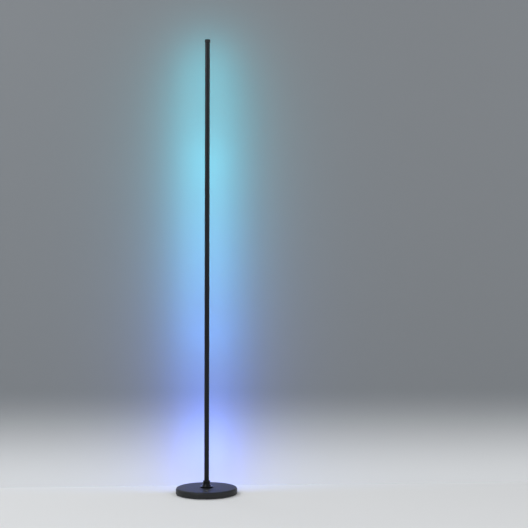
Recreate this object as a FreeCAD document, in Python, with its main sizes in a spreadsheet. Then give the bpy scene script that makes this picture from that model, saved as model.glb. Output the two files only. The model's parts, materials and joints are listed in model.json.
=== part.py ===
import FreeCAD, Part

import math
import os

import Sketcher
from FreeCAD import Placement, Rotation, Vector

# A corner floor lamp: a slim round pole stands on a low round foot and throws coloured light
# backwards into the corner of a room.
#
# The pole is three lengths of one aluminium extrusion, joined end to end by bars that hide in
# its front chamber. Its back is an open channel. A flexible strip of light-emitting diodes lies
# on the channel's floor, and one long opal diffuser snaps in over it and closes the round.
# The pole's foot plug turns in a lined collar, so that the light can be aimed at the corner, and
# a stop pin in a curved slot keeps the lead inside from being twisted off. The foot is a steel
# pressing over an iron weight. It holds the control board, its push button and the power inlet.
#
# Millimetres. The origin is on the floor under the pole's axis, +Z is up, and +Y is the back,
# where the light leaves and the corner is. The front, which the room sees, is towards -Y.

DOCUMENT = FreeCAD.newDocument("corner_floor_lamp")

SIZES = (
    # alias, value, what it is
    ("overall_height", 1420.0, "floor to the top of the end cap"),
    ("pole_diameter", 15.0, "round outside of the extrusion and the diffuser"),
    ("pole_wall", 1.2, "wall of the extrusion's front chamber"),
    ("section_count", 3, "lengths of extrusion in the pole"),
    ("seam_chamfer", 0.25, "chamfer on the ends of each length"),
    ("channel_width", 9.2, "clear width of the light channel"),
    ("web_setback", 1.0, "channel floor, in front of the pole's axis"),
    ("web_thickness", 1.2, "web between the channel and the front chamber"),
    ("groove_depth", 0.5, "snap grooves in the channel's sides"),
    ("groove_low", 3.4, "lower edge of the snap grooves, behind the axis"),
    ("groove_width", 1.0, "width of the snap grooves"),
    ("diffuser_wall", 1.2, "skin of the diffuser"),
    ("diffuser_leg", 1.0, "thickness of its snap legs"),
    ("leg_low", 3.0, "free ends of the legs, behind the axis"),
    ("joiner_length", 60.0, "bar that joins two lengths"),
    ("screw_near", 8.0, "end of a length to its first grub screw"),
    ("screw_far", 22.0, "end of a length to its second grub screw"),
    ("grub_radius", 1.5, "M3 grub screws"),
    ("grub_length", 3.6, "M3 grub screws"),
    ("fit_gap", 0.1, "clearance of a part that slides in for good"),
    ("close_gap", 0.05, "clearance of a part that is screwed or pressed on, on the radius"),
    ("edge_break", 0.4, "small chamfers on turned and moulded edges"),
    ("running_gap", 0.08, "clearance of the pole in its bush, on the radius"),
    ("cap_diameter", 16.8, "end cap"),
    ("cap_height", 9.0, "end cap, roof to rim"),
    ("cap_roof", 2.0, "end cap above the pole's end"),
    ("cap_round", 1.5, "radius round the cap's roof"),
    ("cap_rim_chamfer", 0.3, "chamfer round the cap's rim"),
    ("tenon_length", 12.0, "cap's tongue in the front chamber"),
    ("base_diameter", 190.0, "foot"),
    ("base_height", 20.0, "floor to the top of the foot's cover"),
    ("base_round", 6.0, "radius round the cover's top edge"),
    ("sheet_thickness", 1.2, "steel of the cover"),
    ("cover_lift", 2.0, "cover's rim above the floor"),
    ("pad_height", 2.5, "rubber pads"),
    ("pad_radius", 7.0, "rubber pads"),
    ("pad_circle", 80.0, "pads from the pole's axis"),
    ("plate_thickness", 2.0, "bottom plate"),
    ("weight_radius", 88.0, "iron weight"),
    ("weight_thickness", 8.5, "iron weight"),
    ("swivel_well", 22.0, "radius of the well in the weight, round the swivel"),
    ("window_margin", 3.0, "gap between the board and the sides of its window"),
    ("window_back", 15.0, "back of the board's window and front of the inlet's slot"),
    ("slot_half", 14.0, "half the width of the inlet's slot in the weight"),
    ("pillar_circle", 72.0, "fixing pillars from the axis"),
    ("pillar_radius", 4.0, "fixing pillars"),
    ("collar_flange", 20.0, "radius of the collar's flange"),
    ("flange_height", 4.0, "collar's flange"),
    ("collar_radius", 11.0, "collar's neck"),
    ("collar_taper", 6.0, "height of the cone from the flange to the neck"),
    ("cone_spread", 4.0, "cone's foot beyond the neck"),
    ("collar_height", 20.0, "collar above the cover"),
    ("collar_floor", 1.5, "floor under the bush"),
    ("collar_circle", 14.5, "collar screws from the axis"),
    ("bush_radius", 9.0, "outside of the bush"),
    ("bush_floor", 1.0, "floor of the bush, which carries the pole"),
    ("bush_lip", 0.8, "lip of the bush over the collar's rim"),
    ("lip_setback", 0.6, "lip's edge inside the collar's"),
    ("shank_radius", 5.0, "hollow shank of the foot plug"),
    ("shank_bore", 3.0, "way for the lead through the shank"),
    ("shank_end", 12.0, "lower end of the shank above the floor"),
    ("shank_hole", 5.15, "radius of the holes that the shank passes"),
    ("plug_head", 2.5, "head of the foot plug"),
    ("plug_tenon", 24.0, "foot plug's tongue in the front chamber"),
    ("washer_thickness", 1.0, "spring washer"),
    ("washer_width", 3.0, "spring washer, bore to edge"),
    ("nut_height", 3.0, "thin nut on the shank"),
    ("nut_across", 14.0, "thin nut, across its flats"),
    ("stop_circle", 6.4, "stop pin from the axis"),
    ("stop_radius", 0.6, "stop pin"),
    ("stop_gap", 0.12, "clearance round the stop pin"),
    ("swivel_half", 150.0, "turn of the pole each way, in degrees"),
    ("button_offset", 62.0, "button in front of the axis"),
    ("button_radius", 6.5, "button's face"),
    ("button_proud", 1.0, "button above the cover"),
    ("button_travel", 0.5, "button's stroke"),
    ("button_gap", 0.1, "button's flange to the cover above it"),
    ("button_clearance", 0.2, "button's face in its hole, on the radius"),
    ("button_flange", 1.5, "button's flange beyond its face"),
    ("flange_thickness", 1.2, "button's flange"),
    ("stem_radius", 2.0, "button's stem"),
    ("stem_low", 5.0, "button's stem above the board"),
    ("switch_side", 6.2, "switch housing, both ways"),
    ("switch_height", 3.5, "switch housing"),
    ("switch_well", 1.8, "radius of the well in the housing"),
    ("switch_floor", 0.4, "floor of the well"),
    ("plunger_radius", 1.65, "plunger in the well"),
    ("plunger_rest", 0.3, "plunger above the well's floor when it is pressed"),
    ("board_width", 42.0, "control board"),
    ("board_length", 52.0, "control board"),
    ("board_front", 78.0, "front edge of the board, in front of the axis"),
    ("board_lift", 3.0, "standoffs under the board"),
    ("board_thickness", 1.6, "control board"),
    ("board_inset", 3.5, "board's fixing holes from its edges"),
    ("socket_inset", 3.5, "middle of the lead sockets from the board's back edge"),
    ("socket_spread", 8.0, "lead sockets from the board's middle"),
    ("inlet_height", 9.0, "axis of the power inlet above the floor"),
    ("inlet_setback", 0.6, "inlet's face behind the cover's skirt"),
    ("inlet_socket", 3.2, "radius of the inlet's socket"),
    ("inlet_pin_radius", 1.05, "centre pin, for a 5.5 by 2.1 plug"),
    ("inlet_depth", 10.0, "depth of the inlet's socket"),
    ("pin_setback", 1.0, "centre pin's tip behind the inlet's face"),
    ("inlet_length", 14.0, "inlet housing"),
    ("inlet_width", 9.0, "inlet housing, both ways"),
    ("inlet_hole", 4.8, "radius of the hole in the cover before the inlet"),
    ("strap_gap", 0.15, "strap to the inlet's housing"),
    ("strap_thickness", 0.8, "strap over the inlet"),
    ("strap_width", 6.0, "strap over the inlet"),
    ("strap_foot", 4.6, "length of each of the strap's feet"),
    ("strip_width", 8.0, "flexible strip of diodes"),
    ("strip_thickness", 0.3, "flexible strip of diodes"),
    ("strip_start", 44.0, "lower end of the strip above the floor"),
    ("strip_end_gap", 10.0, "strip's upper end below the top of the pole"),
    ("connector_length", 6.0, "connector at the strip's lower end"),
    ("connector_height", 3.2, "connector, from the channel's floor"),
    ("diode_side", 5.0, "square package of one diode"),
    ("diode_height", 1.5, "package of one diode"),
    ("diode_pitch", 16.6, "60 to the metre"),
    ("chip_length", 3.0, "driver chip, across the strip"),
    ("chip_width", 2.4, "driver chip, along the strip"),
    ("chip_height", 1.0, "driver chip"),
    ("strip_lead_radius", 1.2, "lead to the strip"),
    ("inlet_lead_radius", 1.6, "lead from the inlet"),
)

sheet = DOCUMENT.addObject("Spreadsheet::Sheet", "sizes")
for row, (alias, amount, meaning) in enumerate(SIZES, start=1):
    sheet.set(f"A{row}", alias)
    sheet.set(f"B{row}", str(amount))
    sheet.set(f"C{row}", meaning)
    sheet.setAlias(f"B{row}", alias)
DOCUMENT.recompute()

# Heights and radii that several pieces share, as formulas of the sheet.
PLATE_LOW = "sizes.pad_height"
PLATE_TOP = f"({PLATE_LOW} + sizes.plate_thickness)"
WEIGHT_TOP = f"({PLATE_TOP} + sizes.weight_thickness)"
COVER_INSIDE = "(sizes.base_height - sizes.sheet_thickness)"
COVER_RADIUS = "(sizes.base_diameter / 2)"
COLLAR_INSIDE = "(sizes.base_height + sizes.collar_floor)"
COLLAR_TOP = "(sizes.base_height + sizes.collar_height)"
PLUG_LOW = f"({COLLAR_INSIDE} + sizes.bush_floor)"
POLE_LOW = f"({PLUG_LOW} + sizes.plug_head)"
POLE_TOP = "(sizes.overall_height - sizes.cap_roof)"
POLE_RADIUS = "(sizes.pole_diameter / 2)"
SECTION_LENGTH = f"(({POLE_TOP} - {POLE_LOW}) / sizes.section_count)"
CHAMBER_RADIUS = f"({POLE_RADIUS} - sizes.pole_wall)"
CHAMBER_BACK = "(sizes.web_setback + sizes.web_thickness)"
BOARD_LOW = f"({PLATE_TOP} + sizes.board_lift)"
BOARD_TOP = f"({BOARD_LOW} + sizes.board_thickness)"
SKIRT_INSIDE = f"({COVER_RADIUS} - sizes.sheet_thickness)"
INLET_FRONT = f"({SKIRT_INSIDE} - sizes.inlet_setback)"
CHANNEL_HALF = "(sizes.channel_width / 2)"
DIAGONAL = "(sizes.pillar_circle * cos(45 deg))"
STRAP_OUTSIDE = "(sizes.inlet_width / 2 + sizes.strap_gap + sizes.strap_thickness)"
STRAP_SCREW_X = f"({STRAP_OUTSIDE} + 2.5)"
STRAP_SCREW_Y = f"({INLET_FRONT} - sizes.inlet_length / 2)"
THREAD_RADIUS = "(sizes.grub_radius + sizes.close_gap)"
CONNECTOR_LOW = "(sizes.strip_start - sizes.connector_length)"

# Screws. The holes are radii, as formulas, and the rest are the sizes of each kind's solid.
M2_THREAD, M2_HOLE = "1.0", "1.1"
M3_THREAD, M3_HOLE = "1.55", "1.7"
M4_THREAD, M4_HOLE, M4_SINK = "2.0", "2.3", "3.95"
M2_SCREW = {"shank_radius": 0.95, "head_radius": 1.9, "head_height": 1.3, "socket_radius": 0.8}
M3_SCREW = {"shank_radius": 1.5, "head_radius": 2.6, "head_height": 1.7, "socket_radius": 1.15}
M4_SCREW = {"shank_radius": 1.98, "head_radius": 3.93, "head_height": 2.0, "socket_radius": 1.4}

# What is soldered on the control board: the middle's X and its distance behind the board's
# front edge, then the length along X, the width along Y and the height.
MODULE_BOARD = (-9.0, 33.5, 16.0, 22.0, 0.8)
MODULE_CAN = (-9.0, 35.5, 14.5, 16.0, 2.3)
CHOKE = (11.5, 19.0, 7.0, 7.0, 4.0)
REGULATOR = (14.5, 37.5, 6.5, 6.0, 2.3)
TRANSISTOR = (8.5, 5.0, 6.0, 1.6)  # without its X
TRANSISTOR_PLACES = (-14.0, -7.5, 9.0)
CAPACITOR = (11.5, 29.0, 4.0, 8.0)  # X, distance, radius and height
LEAD_SOCKET = (7.5, 5.0, 6.0)  # length, width and height

UP = Vector(0, 0, 1)
SAME = 1e-4  # two lengths that differ by less are the same


def number(formula):
    """The value of a formula of the sheet, in millimetres or degrees."""
    return float(sheet.evalExpression(str(formula)))


# ---------------------------------------------------------------- sketches and features


def new_body(label):
    """An empty body for one piece."""
    body = DOCUMENT.addObject("PartDesign::Body", label)
    body.Label = label
    return body


def new_sketch(body, plane, name, offset="0"):
    """A sketch on one of the body's own planes, moved along the plane's normal."""
    sketch = body.newObject("Sketcher::SketchObject", name)
    support = next(f for f in body.Origin.OriginFeatures if f.Role == plane)
    sketch.AttachmentSupport = [(support, "")]
    sketch.MapMode = "FlatFace"
    sketch.setExpression("AttachmentOffset.Base.z", offset)
    return sketch


def drive(sketch, kind, references, formula):
    """A constraint whose value follows a formula."""
    index = sketch.addConstraint(Sketcher.Constraint(kind, *references, number(formula)))
    sketch.setExpression(f"Constraints[{index}]", str(formula))


def pin_point(sketch, edge, end, x, y):
    """Fixes one point of an edge at a place given by two formulas."""
    drive(sketch, "DistanceX", (-1, 1, edge, end), x)
    drive(sketch, "DistanceY", (-1, 1, edge, end), y)


def draw_outline(sketch, corners):
    """A closed outline of straight edges. Each corner is a pair of formulas."""
    points = [Vector(number(x), number(y), 0) for x, y in corners]
    following = points[1:] + points[:1]
    edges = [
        sketch.addGeometry(Part.LineSegment(a, b), False)
        for a, b in zip(points, following)
    ]
    for edge, after in zip(edges, edges[1:] + edges[:1]):
        sketch.addConstraint(Sketcher.Constraint("Coincident", edge, 2, after, 1))
    for edge, (x, y) in zip(edges, corners):
        pin_point(sketch, edge, 1, x, y)


def draw_rectangle(sketch, left, right, low, high):
    """An upright rectangle between four formulas."""
    draw_outline(sketch, ((left, low), (right, low), (right, high), (left, high)))


def draw_circle(sketch, radius, x="0", y="0"):
    """A circle about a point."""
    centre = Vector(number(x), number(y), 0)
    circle = Part.Circle(centre, UP, number(radius))
    edge = sketch.addGeometry(circle, False)
    pin_point(sketch, edge, 3, x, y)
    drive(sketch, "Radius", (edge,), radius)


def draw_front_segment(sketch, radius, chord):
    """The part of a circle about the axis that lies in front of a chord: a D-shape."""
    r, y = number(radius), -number(chord)
    x = math.sqrt(r * r - y * y)
    left, right = math.atan2(y, -x), math.atan2(y, x)
    circle = Part.Circle(Vector(0, 0, 0), UP, r)
    arc = sketch.addGeometry(Part.ArcOfCircle(circle, left, right), False)
    line = sketch.addGeometry(Part.LineSegment(Vector(x, y, 0), Vector(-x, y, 0)), False)
    sketch.addConstraint(Sketcher.Constraint("Coincident", arc, 3, -1, 1))
    sketch.addConstraint(Sketcher.Constraint("Coincident", arc, 2, line, 1))
    sketch.addConstraint(Sketcher.Constraint("Coincident", line, 2, arc, 1))
    sketch.addConstraint(Sketcher.Constraint("Horizontal", line))
    drive(sketch, "Radius", (arc,), radius)
    drive(sketch, "DistanceY", (-1, 1, line, 1), f"-{chord}")


def draw_arch(sketch, radius, half_width, foot):
    """Two upright sides, closed above by an arc about the axis and below by a straight foot."""
    r, w, low = number(radius), number(half_width), number(foot)
    high = math.sqrt(r * r - w * w)
    circle = Part.Circle(Vector(0, 0, 0), UP, r)
    arc = sketch.addGeometry(
        Part.ArcOfCircle(circle, math.atan2(high, w), math.atan2(high, -w)), False
    )
    corners = [Vector(-w, high, 0), Vector(-w, low, 0), Vector(w, low, 0), Vector(w, high, 0)]
    edges = [
        sketch.addGeometry(Part.LineSegment(a, b), False)
        for a, b in zip(corners, corners[1:])
    ]
    sketch.addConstraint(Sketcher.Constraint("Coincident", arc, 3, -1, 1))
    sketch.addConstraint(Sketcher.Constraint("Coincident", arc, 2, edges[0], 1))
    sketch.addConstraint(Sketcher.Constraint("Coincident", edges[0], 2, edges[1], 1))
    sketch.addConstraint(Sketcher.Constraint("Coincident", edges[1], 2, edges[2], 1))
    sketch.addConstraint(Sketcher.Constraint("Coincident", edges[2], 2, arc, 1))
    sketch.addConstraint(Sketcher.Constraint("Vertical", edges[0]))
    sketch.addConstraint(Sketcher.Constraint("Vertical", edges[2]))
    drive(sketch, "Radius", (arc,), radius)
    pin_point(sketch, edges[1], 1, f"-{half_width}", foot)
    pin_point(sketch, edges[1], 2, half_width, foot)


def add_pad(body, sketch, name, length, reverse=False):
    """Material added along the sketch's normal."""
    pad = body.newObject("PartDesign::Pad", name)
    pad.Profile = sketch
    pad.Reversed = reverse
    pad.setExpression("Length", length)
    return pad


def add_pocket(body, sketch, name, length=None, reverse=False):
    """Material taken away against the sketch's normal, by a length or right through.

    Stops the build if nothing was taken away.
    """
    DOCUMENT.recompute()
    before = body.Shape.Volume
    pocket = body.newObject("PartDesign::Pocket", name)
    pocket.Profile = sketch
    pocket.Reversed = reverse
    if length is None:
        pocket.Type = "ThroughAll"
    else:
        pocket.setExpression("Length", length)
    DOCUMENT.recompute()
    if not pocket.Shape.Volume < before - SAME:
        raise RuntimeError(f"{body.Label}: {name} cuts nothing")
    return pocket


def add_revolution(body, sketch, name):
    """The sketch turned once round its own vertical axis."""
    turned = body.newObject("PartDesign::Revolution", name)
    turned.Profile = sketch
    turned.ReferenceAxis = (sketch, ["V_Axis"])
    turned.Angle = 360
    return turned


def add_ring_of(body, feature, count, name):
    """Repeats a feature evenly round the body's Z axis."""
    ring = body.newObject("PartDesign::PolarPattern", name)
    ring.Originals = [feature]
    axis = next(f for f in body.Origin.OriginFeatures if f.Role == "Z_Axis")
    ring.Axis = (axis, [""])
    ring.Angle = 360
    ring.Occurrences = count
    body.Tip = ring
    return ring


def round_edges(shape, radius, height):
    """Names of the circular edges of this radius at this height."""
    r, z = number(radius), number(height)
    return [
        f"Edge{k}"
        for k, edge in enumerate(shape.Edges, start=1)
        if isinstance(edge.Curve, Part.Circle)
        and abs(edge.Curve.Radius - r) < SAME
        and abs(edge.Curve.Center.z - z) < SAME
    ]


def add_edge_feature(body, kind, name, radius, height, size):
    """A fillet or a chamfer on the circular edges of one radius at one height."""
    DOCUMENT.recompute()
    base = body.Tip
    edges = round_edges(base.Shape, radius, height)
    if not edges:
        raise RuntimeError(f"{body.Label}: no edge for {name}")
    feature = body.newObject(f"PartDesign::{kind}", name)
    feature.Base = (base, edges)
    feature.setExpression("Radius" if kind == "Fillet" else "Size", size)
    return feature


def turned_body(label, corners):
    """A body revolved round Z from an outline of (radius, height) formulas."""
    body = new_body(label)
    sketch = new_sketch(body, "XZ_Plane", f"{label}_profile")
    draw_outline(sketch, corners)
    add_revolution(body, sketch, f"{label}_turning")
    return body


# ---------------------------------------------------------------- groups and plain solids


def new_group(label, solids):
    """Several separate solids that are one kind of piece."""
    feature = DOCUMENT.addObject("Part::Feature", label)
    feature.Label = label
    feature.Shape = Part.makeCompound(solids) if len(solids) > 1 else solids[0]
    feature.Placement = Placement()
    return feature


def new_box(label, low, high):
    """A block between two corners, each three formulas."""
    block = DOCUMENT.addObject("Part::Box", label)
    block.Label = label
    for size, a, b in zip(("Length", "Width", "Height"), low, high):
        block.setExpression(size, f"({b}) - ({a})")
    for axis, a in zip("xyz", low):
        block.setExpression(f"Placement.Base.{axis}", a)
    return block


def block_solid(x, y, z, length, width, height):
    """A block standing on z, centred on x and y."""
    corner = Vector(x - length / 2, y - width / 2, z)
    return Part.makeBox(length, width, height, corner)


def around(radius, count, first_degrees, height):
    """Points evenly round the axis at one height."""
    step = 360.0 / count
    turns = [math.radians(first_degrees + k * step) for k in range(count)]
    return [Vector(radius * math.cos(a), radius * math.sin(a), height) for a in turns]


SOCKET_SHARE = 0.6  # depth of a screw's socket as a share of its head's height


def socket_cut(radius, depth, start, direction):
    """The hexagon socket of a screw, to be cut from its head."""
    corners = [
        Vector(radius * math.cos(math.radians(60 * k)), radius * math.sin(math.radians(60 * k)), 0)
        for k in range(7)
    ]
    prism = Part.Face(Part.makePolygon(corners)).extrude(Vector(0, 0, depth))
    prism.Placement = Placement(start, Rotation(UP, direction))
    return prism


def countersunk_screw(place, length, shank_radius, head_radius, head_height, socket_radius):
    """A flat-head screw driven upwards, its head's face at the given place."""
    head = Part.makeCone(head_radius, shank_radius, head_height, place, UP)
    shank = Part.makeCylinder(shank_radius, length - head_height, place + UP * head_height, UP)
    socket = socket_cut(socket_radius, head_height * SOCKET_SHARE, place, UP)
    return head.fuse(shank).removeSplitter().cut(socket)


def pan_screw(place, direction, length, shank_radius, head_radius, head_height, socket_radius):
    """A pan-head screw. The head's seat is at the given place and the shank points along."""
    away = place - direction * head_height
    head = Part.makeCylinder(head_radius, head_height, away, direction)
    head = head.makeChamfer(head_height * 0.3, [e for e in head.Edges if seats_at(e, away)])
    shank = Part.makeCylinder(shank_radius, length, place, direction)
    socket = socket_cut(socket_radius, head_height * SOCKET_SHARE, away, direction)
    return head.fuse(shank).cut(socket)


def seats_at(edge, centre):
    """True for a circular edge about this very point."""
    return isinstance(edge.Curve, Part.Circle) and (edge.Curve.Center - centre).Length < SAME


def grub_screw(tip, direction):
    """A grub screw with its hexagon socket in the face that it is driven from."""
    radius, length = number("sizes.grub_radius"), number("sizes.grub_length")
    start = tip - direction * length
    body = Part.makeCylinder(radius, length, start, direction)
    return body.cut(socket_cut(radius * 0.55, length * 0.45, start, direction))


def route_with_arcs(points, share=0.45):
    """A path of straight runs joined by tangent arcs, each as large as its two runs allow."""
    edges, start = [], points[0]
    radii = []
    for before, corner, after in zip(points, points[1:], points[2:]):
        back, ahead = before - corner, after - corner
        run = min(back.Length, ahead.Length)
        back.normalize()
        ahead.normalize()
        turn = math.pi - back.getAngle(ahead)
        reach = share * run
        radii.append(reach / math.tan(turn / 2))
        middle_way = back + ahead
        middle_way.normalize()
        to_arc = radii[-1] / math.cos(turn / 2) - radii[-1]
        arc_start, arc_end = corner + back * reach, corner + ahead * reach
        edges.append(Part.LineSegment(start, arc_start).toShape())
        edges.append(Part.Arc(arc_start, corner + middle_way * to_arc, arc_end).toShape())
        start = arc_end
    edges.append(Part.LineSegment(start, points[-1]).toShape())
    return Part.Wire(edges), radii


def new_lead(label, radius_formula, points):
    """A round lead along a route. Prints its bends and compares its volume with its length."""
    radius = number(radius_formula)
    path, bends = route_with_arcs(points)
    direction = points[1] - points[0]
    circle = Part.makeCircle(radius, points[0], direction)
    solid = path.makePipeShell([Part.Wire([circle])], True, False)
    share = solid.Volume / (math.pi * radius * radius * path.Length)
    print(f"{label}: {path.Length:.1f} mm long, bends {[round(b, 1) for b in bends]}")
    if abs(share - 1) > 0.01:
        raise RuntimeError(f"{label}: its volume is {share:.3f} of its section times its length")
    return new_group(label, [solid])


# ---------------------------------------------------------------- the pole


def make_section(label, index):
    """One length of the extrusion: round outside, light channel behind, D-chamber in front."""
    body = new_body(label)
    blank = new_sketch(body, "XY_Plane", f"{label}_round")
    draw_circle(blank, POLE_RADIUS)
    add_pad(body, blank, f"{label}_blank", SECTION_LENGTH)

    channel = new_sketch(body, "XY_Plane", f"{label}_channel")
    draw_rectangle(
        channel, f"-{CHANNEL_HALF}", CHANNEL_HALF, "-sizes.web_setback", "sizes.pole_diameter"
    )
    add_pocket(body, channel, f"{label}_channel_cut", reverse=True)

    grooves = new_sketch(body, "XY_Plane", f"{label}_grooves")
    reach = f"({CHANNEL_HALF} + sizes.groove_depth)"
    high = "(sizes.groove_low + sizes.groove_width)"
    draw_rectangle(grooves, f"-{reach}", reach, "sizes.groove_low", high)
    add_pocket(body, grooves, f"{label}_groove_cut", reverse=True)

    chamber = new_sketch(body, "XY_Plane", f"{label}_chamber")
    draw_front_segment(chamber, CHAMBER_RADIUS, CHAMBER_BACK)
    add_pocket(body, chamber, f"{label}_chamber_cut", reverse=True)

    # Holes in the web, under the strip, through which the joiners' grub screws are driven.
    holes = new_sketch(body, "XZ_Plane", f"{label}_screw_holes")
    for distance in ("sizes.screw_near", "sizes.screw_far"):
        for height in (distance, f"({SECTION_LENGTH} - {distance})"):
            draw_circle(holes, M3_HOLE, "0", height)
    add_pocket(body, holes, f"{label}_screw_cut", f"({CHAMBER_BACK} + 1)", reverse=True)

    # A fine chamfer at each end shows as a hairline where two lengths meet.
    for name, height in (("lower", "0"), ("upper", SECTION_LENGTH)):
        add_edge_feature(
            body, "Chamfer", f"{label}_{name}_end", POLE_RADIUS, height, "sizes.seam_chamfer"
        )
    body.setExpression("Placement.Base.z", f"{POLE_LOW} + {index} * {SECTION_LENGTH}")


def draw_tongue(sketch):
    """The D-shape that slides into the front chamber."""
    draw_front_segment(
        sketch, f"({CHAMBER_RADIUS} - sizes.fit_gap)", f"({CHAMBER_BACK} + sizes.fit_gap)"
    )


def make_joiner(label, index):
    """A bar in the front chambers of two lengths, with four threaded holes."""
    body = new_body(label)
    profile = new_sketch(body, "XY_Plane", f"{label}_profile", "-sizes.joiner_length / 2")
    draw_tongue(profile)
    add_pad(body, profile, f"{label}_bar", "sizes.joiner_length")
    holes = new_sketch(body, "XZ_Plane", f"{label}_threads")
    for distance in ("sizes.screw_near", "sizes.screw_far"):
        for height in (distance, f"-{distance}"):
            draw_circle(holes, THREAD_RADIUS, "0", height)
    add_pocket(body, holes, f"{label}_thread_cut", reverse=True)
    body.setExpression("Placement.Base.z", f"{POLE_LOW} + {index} * {SECTION_LENGTH}")


def grub_screws_at(heights):
    """Grub screws on the pole's centre line at these heights, driven towards the front."""
    face = number(CHAMBER_RADIUS) - 0.25  # flat tips stay off the chamber's curved wall
    return [grub_screw(Vector(0, -face, z), Vector(0, -1, 0)) for z in heights]


def make_joiner_screws():
    """Four grub screws in each joiner."""
    heights = []
    for index in range(1, int(number("sizes.section_count"))):
        seam = number(f"{POLE_LOW} + {index} * {SECTION_LENGTH}")
        for distance in (number("sizes.screw_near"), number("sizes.screw_far")):
            heights += [seam - distance, seam + distance]
    new_group("joiner_screws", grub_screws_at(heights))


def make_foot_plug():
    """Closes the pole's lower end. Its hollow shank turns in the collar."""
    bore, shank = "sizes.shank_bore", "sizes.shank_radius"
    head = f"({POLE_RADIUS} - sizes.close_gap)"
    label = "pole_foot_plug"
    body = turned_body(
        label,
        (
            (bore, "sizes.shank_end"),
            (shank, "sizes.shank_end"),
            (shank, PLUG_LOW),
            (head, PLUG_LOW),
            (head, POLE_LOW),
            (bore, POLE_LOW),
        ),
    )
    add_edge_feature(
        body, "Chamfer", "shank_lead_in", shank, "sizes.shank_end", "sizes.edge_break"
    )
    tongue = new_sketch(body, "XY_Plane", "plug_tongue_profile", POLE_LOW)
    draw_tongue(tongue)
    add_pad(body, tongue, "plug_tongue", "sizes.plug_tenon")
    threads = new_sketch(body, "XZ_Plane", "plug_threads")
    for distance in ("sizes.screw_near", "sizes.screw_far"):
        draw_circle(threads, THREAD_RADIUS, "0", f"{POLE_LOW} + {distance}")
    add_pocket(body, threads, "plug_thread_cut", reverse=True)
    pin_hole = new_sketch(body, "XY_Plane", "stop_pin_hole", PLUG_LOW)
    draw_circle(pin_hole, "(sizes.stop_radius + sizes.close_gap)", "0", "-sizes.stop_circle")
    add_pocket(body, pin_hole, "stop_pin_cut", "1.6", reverse=True)

    low = number(POLE_LOW)
    heights = [low + number("sizes.screw_near"), low + number("sizes.screw_far")]
    new_group("plug_screws", grub_screws_at(heights))


def make_stop_pin():
    """A pin under the plug's head that runs in the bush's curved slot."""
    pin = DOCUMENT.addObject("Part::Cylinder", "stop_pin")
    pin.Label = "stop_pin"
    pin.setExpression("Radius", "sizes.stop_radius")
    pin.setExpression("Height", "sizes.bush_floor + 1.4")
    pin.setExpression("Placement.Base.y", "-sizes.stop_circle")
    pin.setExpression("Placement.Base.z", f"{COLLAR_INSIDE} + 0.1")


def make_swivel_nut():
    """A thin hexagon nut that holds the shank up against the cover through a spring washer."""
    washer_low = f"({COVER_INSIDE} - sizes.washer_thickness)"
    bore = "(sizes.shank_radius + sizes.close_gap)"
    edge = f"({bore} + sizes.washer_width)"
    body = turned_body(
        "spring_washer",
        ((bore, washer_low), (edge, washer_low), (edge, COVER_INSIDE), (bore, COVER_INSIDE)),
    )
    slit = new_sketch(body, "XY_Plane", "washer_slit", washer_low)
    draw_rectangle(slit, "0", f"({edge} + 1)", "-0.4", "0.4")
    add_pocket(body, slit, "washer_slit_cut", reverse=True)

    label = "swivel_nut"
    body = new_body(label)
    nut_low = f"({washer_low} - sizes.nut_height)"
    hexagon = new_sketch(body, "XY_Plane", "nut_hexagon", nut_low)
    corner = "sizes.nut_across / 2 / cos(30 deg)"
    draw_outline(
        hexagon,
        [
            (f"{corner} * cos({60 * k} deg)", f"{corner} * sin({60 * k} deg)")
            for k in range(6)
        ],
    )
    add_pad(body, hexagon, "nut_blank", "sizes.nut_height")
    hole = new_sketch(body, "XY_Plane", "nut_hole", nut_low)
    draw_circle(hole, bore)
    add_pocket(body, hole, "nut_hole_cut", reverse=True)


def make_diffuser():
    """One long opal profile: a skin that completes the pole's round, on two snap legs."""
    label = "diffuser"
    body = new_body(label)
    half = f"({CHANNEL_HALF} - sizes.close_gap)"
    skin = new_sketch(body, "XY_Plane", "diffuser_skin")
    draw_arch(skin, POLE_RADIUS, half, "sizes.leg_low")
    length = f"({POLE_TOP} - {POLE_LOW})"
    add_pad(body, skin, "diffuser_blank", length)
    barbs = new_sketch(body, "XY_Plane", "diffuser_barbs")
    low = "(sizes.groove_low + sizes.fit_gap)"
    high = "(sizes.groove_low + sizes.groove_width - sizes.fit_gap)"
    reach = f"({CHANNEL_HALF} + sizes.groove_depth - sizes.fit_gap)"
    draw_rectangle(barbs, f"-{reach}", reach, low, high)
    add_pad(body, barbs, "diffuser_barb_pad", length)
    hollow = new_sketch(body, "XY_Plane", "diffuser_hollow")
    draw_arch(
        hollow,
        f"({POLE_RADIUS} - sizes.diffuser_wall)",
        f"({half} - sizes.diffuser_leg)",
        "(sizes.leg_low - 1)",
    )
    add_pocket(body, hollow, "diffuser_hollow_cut", reverse=True)
    body.setExpression("Placement.Base.z", POLE_LOW)


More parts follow.
